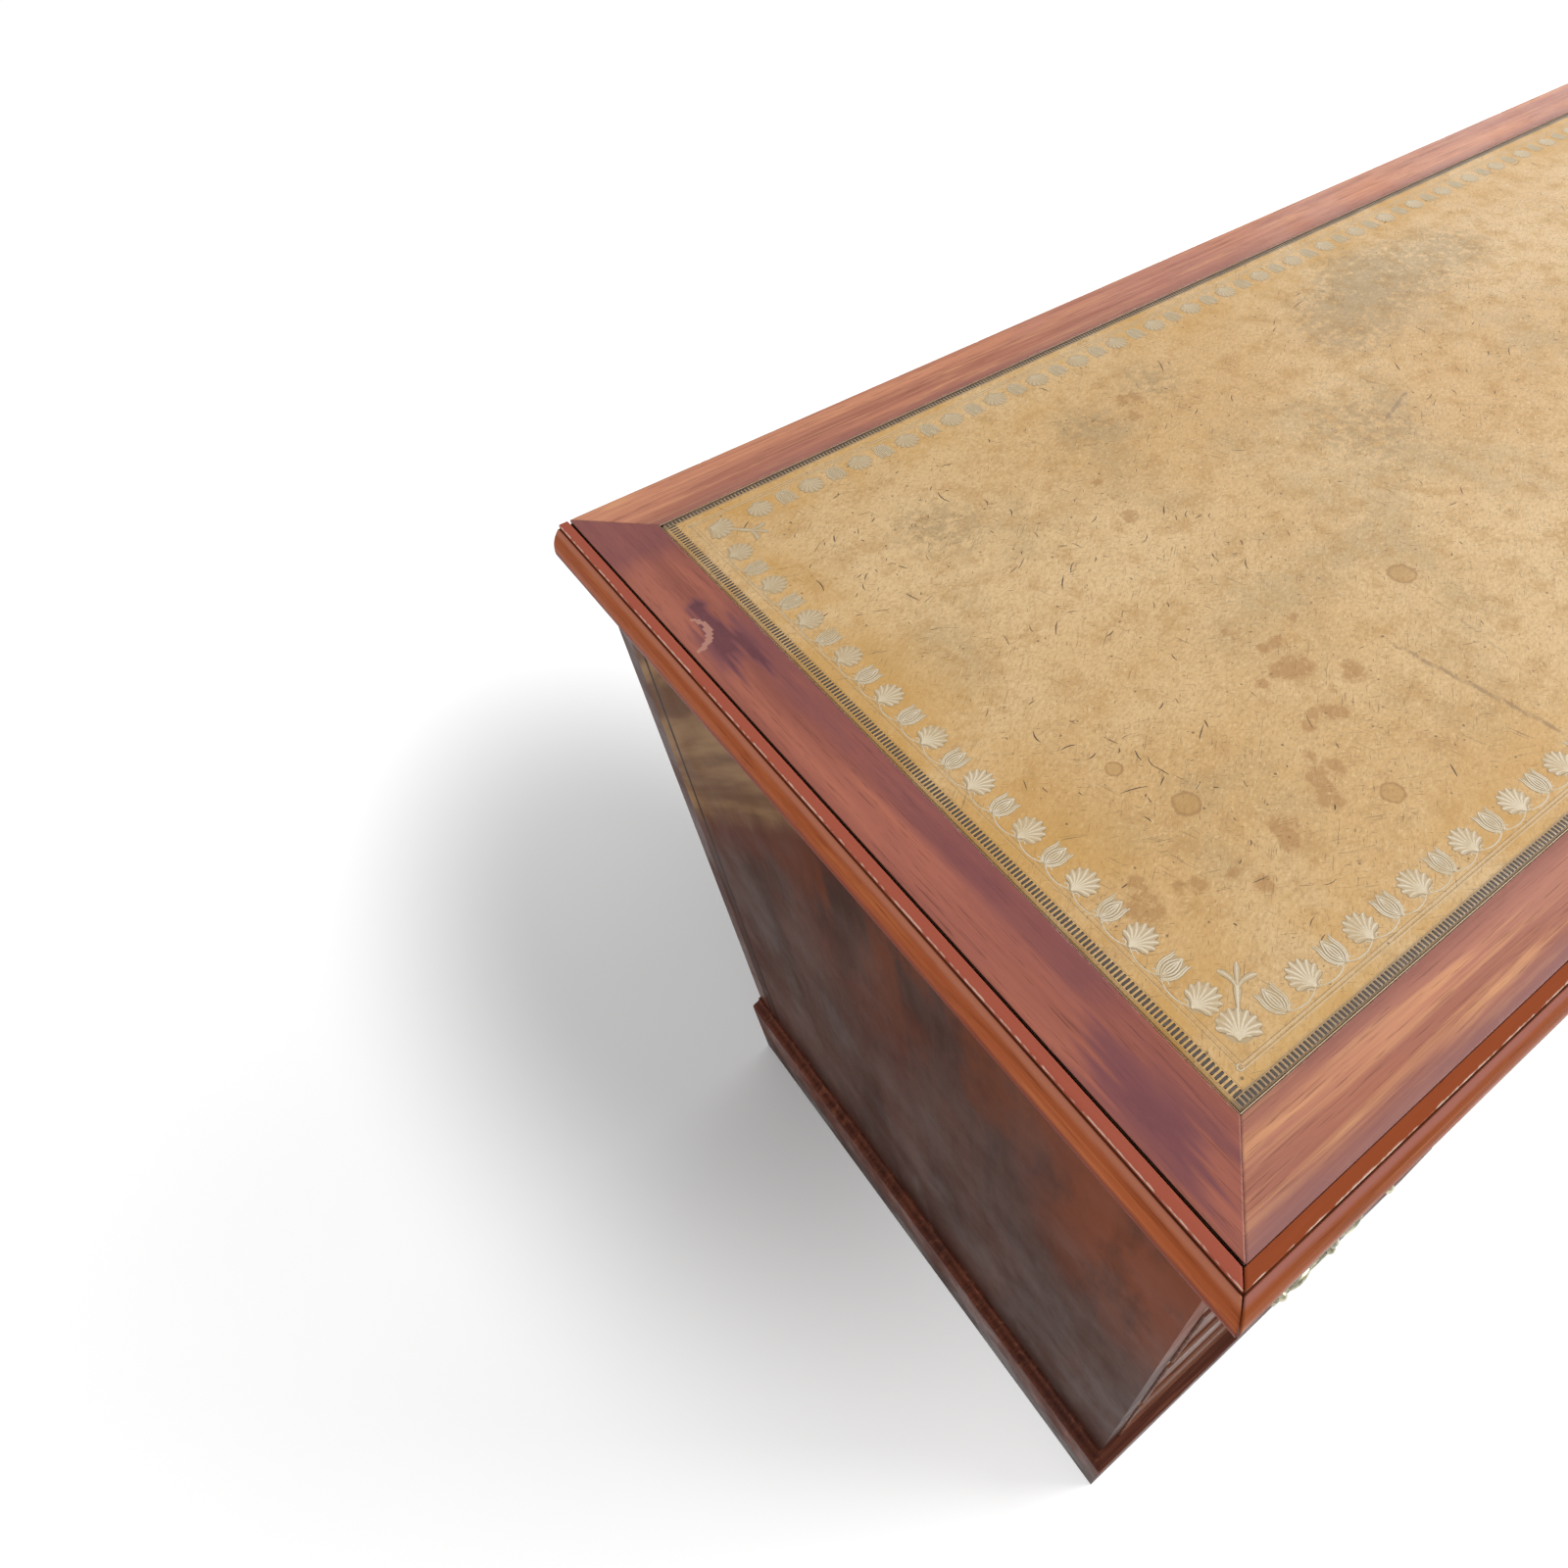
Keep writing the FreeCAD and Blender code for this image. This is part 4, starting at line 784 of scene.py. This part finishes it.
def lotus_bud():
    """Lines of a lotus bud: two nested leaves in the middle and two petals on each side that bulge, close in
    and flare at the tip."""
    share = np.linspace(0, 1, 6)
    bow = np.sin(np.pi * share ** 0.9).clip(0, 1)
    petal = 1.0 + 4.6 * np.sin(np.pi * share ** 0.75 * 0.86) + 2.2 * share ** 6
    rights = [np.stack([3.1 * bow, 1.6 + 14.4 * share], -1), np.stack([1.5 * bow, 2.8 + 11.4 * share], -1),
              np.stack([petal, 0.8 + 15.2 * share], -1), np.stack([petal * 0.8, 1.4 + 13.4 * share], -1)]
    spine = np.stack([0 * share, 2.4 + 13.0 * share], -1)
    return np.stack(rights + [line * (-1, 1) for line in rights] + [spine])


def lotus_ground():
    """Tulip-shaped outline of the bud."""
    right = np.array([(1.4, 0.6), (4.0, 2.8), (5.6, 6.5), (5.3, 11.0), (6.0, 16.0), (4.0, 13.8), (2.6, 15.8),
                      (1.5, 14.6)])
    return np.concatenate([right, [(0, 16.8)], right[::-1] * (-1, 1)])


def placed(lines, spots, ups):
    """Copies of a set of lines, each turned so that its upright points along ups, and moved to its spot."""
    spots, ups = np.asarray(spots, float), np.asarray(ups, float)
    rights = np.stack([ups[:, 1], -ups[:, 0]], -1)
    turned = (lines[None, ..., 0, None] * rights[:, None, None]
              + lines[None, ..., 1, None] * ups[:, None, None])
    return (turned + spots[:, None, None]).reshape(-1, *lines.shape[1:])


def tapered(lines, width):
    """Stroke widths: thin at the start, full in the middle, a little thinner at the end."""
    share = np.linspace(0, 1, lines.shape[1])
    return np.broadcast_to(width * (0.45 + 0.55 * np.sin(np.pi * (0.08 + 0.8 * share))), lines.shape[:2])


def add_grounds(name, outline, spots, ups, middle):
    """Flat grounds under the flowers: each a fan of triangles from its middle to its outline."""
    copies = placed(np.concatenate([[middle], outline])[None], spots, ups)
    count, points = copies.shape[:2]
    heights = np.full((count, points, 1), 0.02)
    heights[:, 0] = 0.06
    edge = np.arange(1, points)
    fan = np.stack([np.zeros(points - 1, int), edge, np.roll(edge, -1)], -1)
    faces = (fan[None] + np.arange(count)[:, None, None] * points).reshape(-1, 3)
    on_leather(name, np.concatenate([copies, heights], -1), faces, flower_ground)


# Distances from the edge of the leather, on its long and on its cross sides: middle of the ladder, half the
# length of a rung, first line, second line, foot of the flowers
LONG_OFFSETS, CROSS_OFFSETS = (4.05, 1.95, 13.1, 15.0, 18.75), (6.1, 2.62, 14.7, 17.1, 18.4)
PALMETTE_LEAF, FAN_LEAF, BUD_LINE, FESTOON_LINE = 5.7, 5.9, 1.5, 1.4
RUNG_WIDTH, RUNG_PITCH = 1.64, 2.6
Side = namedtuple("Side", "corner along inward length offsets others first pitch count palmette_first")


def leather_side(x, y, along, inward, *row):
    """Side of the leather: start corner, directions along it and inwards, length, its own offsets and those
    of its neighbours, then how its flowers stand: first one, pitch, number, and if a palmette comes first."""
    corner, along, inward = (np.array(pair, float) for pair in ((x, y), along, inward))
    if along[0]:
        return Side(corner, along, inward, LEATHER_RIGHT - LEATHER_LEFT, LONG_OFFSETS, CROSS_OFFSETS, *row)
    return Side(corner, along, inward, LEATHER_BACK - LEATHER_FRONT, CROSS_OFFSETS, LONG_OFFSETS, *row)


SIDES = (leather_side(LEATHER_LEFT, LEATHER_FRONT, (1, 0), (0, 1), 50.8, 19.694, 67, False),
         leather_side(LEATHER_LEFT, LEATHER_BACK, (1, 0), (0, -1), 60.0, 19.75, 66, True),
         leather_side(LEATHER_LEFT, LEATHER_FRONT, (0, 1), (1, 0), 47.5, 20.02, 21, True),
         leather_side(LEATHER_RIGHT, LEATHER_FRONT, (0, 1), (-1, 0), 47.5, 20.02, 21, True))


def flower_places():
    """Spots and uprights of all palmettes, all buds, and the middles between neighbours."""
    kinds = {"palmette": ([], []), "bud": ([], []), "between": ([], [])}
    for side in SIDES:
        number = np.arange(side.count)
        run = side.first + side.pitch * number
        foot = side.corner + side.inward * side.offsets[4]
        spots = foot + run[:, None] * side.along
        middles = foot + (run[:-1, None] + side.pitch / 2) * side.along
        is_palmette = (number % 2 == 0) == side.palmette_first
        for kind, chosen in zip(kinds, (spots[is_palmette], spots[~is_palmette], middles)):
            kinds[kind][0].append(chosen)
            kinds[kind][1].append(np.broadcast_to(side.inward, chosen.shape))
    return {kind: tuple(map(np.concatenate, pair)) for kind, pair in kinds.items()}


def make_flowers():
    """The row of palmettes and buds on their grounds, and the festoon that joins their feet."""
    places = flower_places()
    add_grounds("palmette_grounds", palmette_ground(), *places["palmette"], (0, 6))
    add_grounds("bud_grounds", lotus_ground(), *places["bud"], (0, 8))
    copies = placed(palmette(), *places["palmette"])
    add_strokes("palmettes", strokes(copies, leaf_widths(copies, [PALMETTE_LEAF]), 0.26, 0.05), palmette_leaf)
    copies = placed(lotus_bud(), *places["bud"])
    add_strokes("lotus_buds", strokes(copies, tapered(copies, BUD_LINE), 0.25, 0.04), bud_leaf)
    share = np.linspace(-1, 1, 7)
    festoon = np.stack([9.2 * share, 1.2 - 2.6 * (1 - share ** 2)], -1)
    angle = np.linspace(0.2, 3.6, 7)
    curl = np.stack([6.2 - 1.5 * np.cos(angle), 1.0 + 1.5 * np.sin(angle)], -1)
    lines = np.stack([festoon, curl, curl * (-1, 1)])
    copies = placed(lines, *places["between"])
    add_strokes("festoons", strokes(copies, tapered(copies, FESTOON_LINE), 0.15), palmette_leaf)


def make_corners():
    """In each corner a fan of leaves along the diagonal, a lily beyond it and a small ring outside."""
    lengths = np.array([12, 14, 15, 15.6, 16, 15.6, 15, 14, 12])
    fan = leaf_lines([-98, -74, -49, -24, 0, 24, 49, 74, 98], lengths, (0, 0), 1.1, 7)
    lily = leaf_lines([-38, 0, 38], [14, 15, 14], (0, 24), 2.2, 7)
    stem = leaf_lines([-5, 5], [13, 13], (0, 14), 0.3, 7)
    angle = np.linspace(0, 2 * np.pi, 7)
    ring = np.stack([1.6 * np.sin(angle), -12.4 + 1.6 * np.cos(angle)], -1)[None]
    lines = np.concatenate([fan, fan * 0.55, lily, stem, ring])
    spots, ups = [], []
    for x, way_x in ((LEATHER_LEFT, 1), (LEATHER_RIGHT, -1)):
        for y, way_y in ((LEATHER_FRONT, 1), (LEATHER_BACK, -1)):
            spots.append((x + 24.5 * way_x, y + 23.5 * way_y))
            ups.append((way_x * math.sqrt(0.5), way_y * math.sqrt(0.5)))
    rim = np.concatenate([[(-3, -1)], fan[:, -1], [(3, -1)]])
    add_grounds("corner_grounds", rim, spots, ups, (0, 6))
    copies = placed(lines, spots, ups)
    widths = [FAN_LEAF] * 9 + [2.4] * 9 + [4.6, 4.2, 4.6] + [4.4] * 2 + [1.7]
    add_strokes("corner_flowers", strokes(copies, leaf_widths(copies, widths), 0.22, 0.05), palmette_leaf)


def line_places(offsets):
    """Distance from the edge of the leather and width of each line round it: pale ones, then dark ones."""
    ladder, half, first, second = offsets[:4]
    # The dark line just inside each of the first and second pale lines is painted shade of one pressed
    # groove, and that pale line its painted highlight.
    pale = [(0.5, 0.5), (first, 0.7), (second, 0.8)]
    dark = [(ladder - half - 0.6, 0.4), (ladder + half + 0.6, 0.4), (first + 0.75, 0.4), (second + 0.8, 0.4)]
    return pale, dark


def make_lines():
    """Pale and dark lines along each side, finer at the ends of the desk; each stops at the mitre."""
    share = np.linspace(0, 1, 240)[:, None]
    for kind, (name, finish) in enumerate((("pale_lines", pale_line), ("dark_lines", dark_line))):
        lines, widths = [], []
        for side in SIDES:
            starts = [place for place, width in line_places(side.others)[kind]]
            for (place, width), start in zip(line_places(side.offsets)[kind], starts):
                run = start + (side.length - 2 * start) * share
                lines.append(side.corner + run * side.along + place * side.inward)
                widths.append(np.full(len(share), width if side.along[0] else width / 2))
        add_strokes(name, strokes(np.stack(lines), np.stack(widths), 0.08), finish)


def make_ladder():
    """Rungs of the ladder: rounded, domed bars, each a grid of 5 by 3 points. Those of the long sides run
    into the corners, and those of the cross sides stop beside them."""
    across, down = np.meshgrid(np.linspace(-1, 1, 5), np.linspace(-1, 1, 3), indexing="ij")
    rung_y = RUNG_WIDTH / 2 * down * (1 - 0.2 * across ** 4)
    rung_z = 0.1 - 0.1 * np.maximum(across ** 4, down ** 2)
    rungs = []
    for side in SIDES:
        ladder, half = side.others[:2]
        start = ladder - half + 0.8 if side.along[0] else ladder + half + 1.4
        count = int((side.length - 2 * start) // RUNG_PITCH) + 1
        run = start + (side.length - 2 * start) * np.arange(count) / (count - 1)
        jitter = 0.09 * waves(run, count, 23.0, 6)
        middle = side.corner + (run + jitter)[:, None] * side.along + side.offsets[0] * side.inward
        flat = (middle[:, None, None] + (side.offsets[1] * across)[..., None] * side.inward
                + rung_y[..., None] * side.along)
        rungs.append(np.concatenate([flat, np.broadcast_to(rung_z, flat.shape[:3])[..., None]], -1))
    stack = np.concatenate(rungs)
    faces = (grid_faces(5, 3)[None] + np.arange(len(stack))[:, None, None] * 15).reshape(-1, 4)
    on_leather("ladder_rungs", stack, faces, ladder_line)


def make_scratches():
    """Short hairline scratches: seeded, thick round a few places and thin elsewhere, 2 to 15 long."""
    rng = np.random.default_rng(41)
    centres = np.array([(110, 400), (150, 460), (170, 430), (230, 400), (210, 330), (120, 250), (300, 300),
                        (420, 420), (560, 330), (160, 190), (880, 360), (1150, 230)], float)
    spots = np.concatenate([np.repeat(centres, 15, 0) + rng.normal(0, 26, (15 * len(centres), 2)),
                            rng.uniform((70, 75), (1415, 530), (260, 2))])
    inside = (spots[:, 0] > 66) & (spots[:, 1] > 66) & (spots[:, 0] < 1420) & (spots[:, 1] < 524)
    spots = spots[inside] + (FRAME_LEFT, FRAME_FRONT)
    count = len(spots)
    heading = rng.normal(0.9, 0.75, count)
    length = rng.gamma(2.2, 2.2, count).clip(2, 15)
    share = np.linspace(-0.5, 0.5, 4)
    bend = heading[:, None] + rng.normal(0, 0.3, (count, 1)) * share
    lines = spots[:, None] + (length[:, None] * share)[..., None] * np.stack([np.cos(bend), np.sin(bend)], -1)
    widths = rng.uniform(0.3, 0.75, (count, 1)) * np.sin(np.pi * (share + 0.62) / 1.24)
    add_strokes("scratches", strokes(lines, widths, 0.11, 0.09), scratch_line)


make_flowers()
make_corners()
make_lines()
make_ladder()
make_scratches()


# Studio

def make_floor():
    """Pale floor, fourteen metres across. What the camera sees of it is lifted to white, by glow that grows
    from nothing inside an oval beside the left end, so the shadow there stays."""
    mesh = bpy.data.meshes.new("floor")
    reach = 7.0
    corners = [(-reach, -reach, 0), (reach, -reach, 0), (reach, reach, 0), (-reach, reach, 0)]
    mesh.from_pydata(corners, [], [(0, 1, 2, 3)])
    floor = bpy.data.objects.new("floor", mesh)
    bpy.context.scene.collection.objects.link(floor)
    paint = Recipe("floor_paint")
    paths = paint.add("ShaderNodeLightPath")
    seen = paint.math("MAXIMUM", paths.outputs["Is Camera Ray"], paths.outputs["Is Glossy Ray"])
    seen = paint.math("MAXIMUM", seen, paths.outputs["Is Transmission Ray"])
    oval_middle, half_width, half_length = (-0.787, 0.512, 0), 0.42, 0.82
    oval = paint.mapped((1 / half_width, 1 / half_length, 1), move=oval_middle)
    away = paint.add("ShaderNodeVectorMath", {0: oval}, operation="LENGTH").outputs["Value"]
    glow = paint.times(seen, paint.span(away, 0.29, 1.0, 0, 0.42))
    paint.give(paint.shader.inputs["Emission Strength"], glow)
    paint.shader.inputs["Emission Color"].default_value = (1, 1, 1, 1)
    mesh.materials.append(paint.finish((0.88, 0.88, 0.88), 0.9, Specular_IOR_Level=0.1))


def add_lamp(name, place, target, size, power):
    """Square soft lamp that faces its target."""
    lamp = bpy.data.objects.new(name, bpy.data.lights.new(name, "AREA"))
    lamp.data.size = size
    lamp.data.energy = power
    bpy.context.scene.collection.objects.link(lamp)
    lamp.location = place
    way = np.asarray(target, float) - np.asarray(place, float)
    lamp.rotation_mode = "QUATERNION"
    lamp.rotation_quaternion = Vector(way).to_track_quat("-Z", "Y")


def make_studio():
    """Soft light from the whole sky, brighter overhead and to the left, a broad window at the front right and
    a dim one behind the right end."""
    world = bpy.data.worlds.new("studio")
    world.use_nodes = True
    tree = world.node_tree
    sky = tree.nodes["Background"]
    sky.inputs["Color"].default_value = (1, 1, 1, 1)
    way = tree.nodes.new("ShaderNodeSeparateXYZ")
    tree.links.new(tree.nodes.new("ShaderNodeTexCoord").outputs["Generated"], way.inputs["Vector"])
    total = tree.nodes.new("ShaderNodeMath")
    for place, axis, ends in ((0, "Z", (0, 1, 0.4, 0.58)), (1, "X", (-0.1, -1, 0, 0.55))):
        share = tree.nodes.new("ShaderNodeMapRange")
        for name, number in zip(("From Min", "From Max", "To Min", "To Max"), ends):
            share.inputs[name].default_value = number
        tree.links.new(way.outputs[axis], share.inputs["Value"])
        tree.links.new(share.outputs["Result"], total.inputs[place])
    tree.links.new(total.outputs[0], sky.inputs["Strength"])
    bpy.context.scene.world = world
    add_lamp("window", (2.6, -1.7, 2.9), (-0.2, -0.1, 0.3), 2.4, 126)
    add_lamp("far_window", (2.9, 1.2, 2.15), (0, 0, 0.7), 2.4, 15)


def make_camera():
    """Camera of the photograph: 24.1 mm lens, above the front left corner and looking down along the desk."""
    right = (0.78549, -0.6185, -0.02145)
    down = (-0.50745, -0.62384, -0.5944)
    forward = (0.35425, 0.47778, -0.80389)
    place = (-0.88473, -0.309, 1.19691)
    camera = bpy.data.objects.new("camera", bpy.data.cameras.new("camera"))
    rows = [(right[row], -down[row], -forward[row], place[row]) for row in range(3)]
    camera.matrix_world = Matrix(rows + [(0, 0, 0, 1)])
    camera.data.sensor_width = 36
    camera.data.lens = 24.1073
    camera.data.shift_x = -0.11672
    camera.data.shift_y = 0.03009
    bpy.context.scene.collection.objects.link(camera)
    bpy.context.scene.camera = camera


make_floor()
make_studio()
make_camera()
bpy.context.scene.view_settings.view_transform = "Standard"
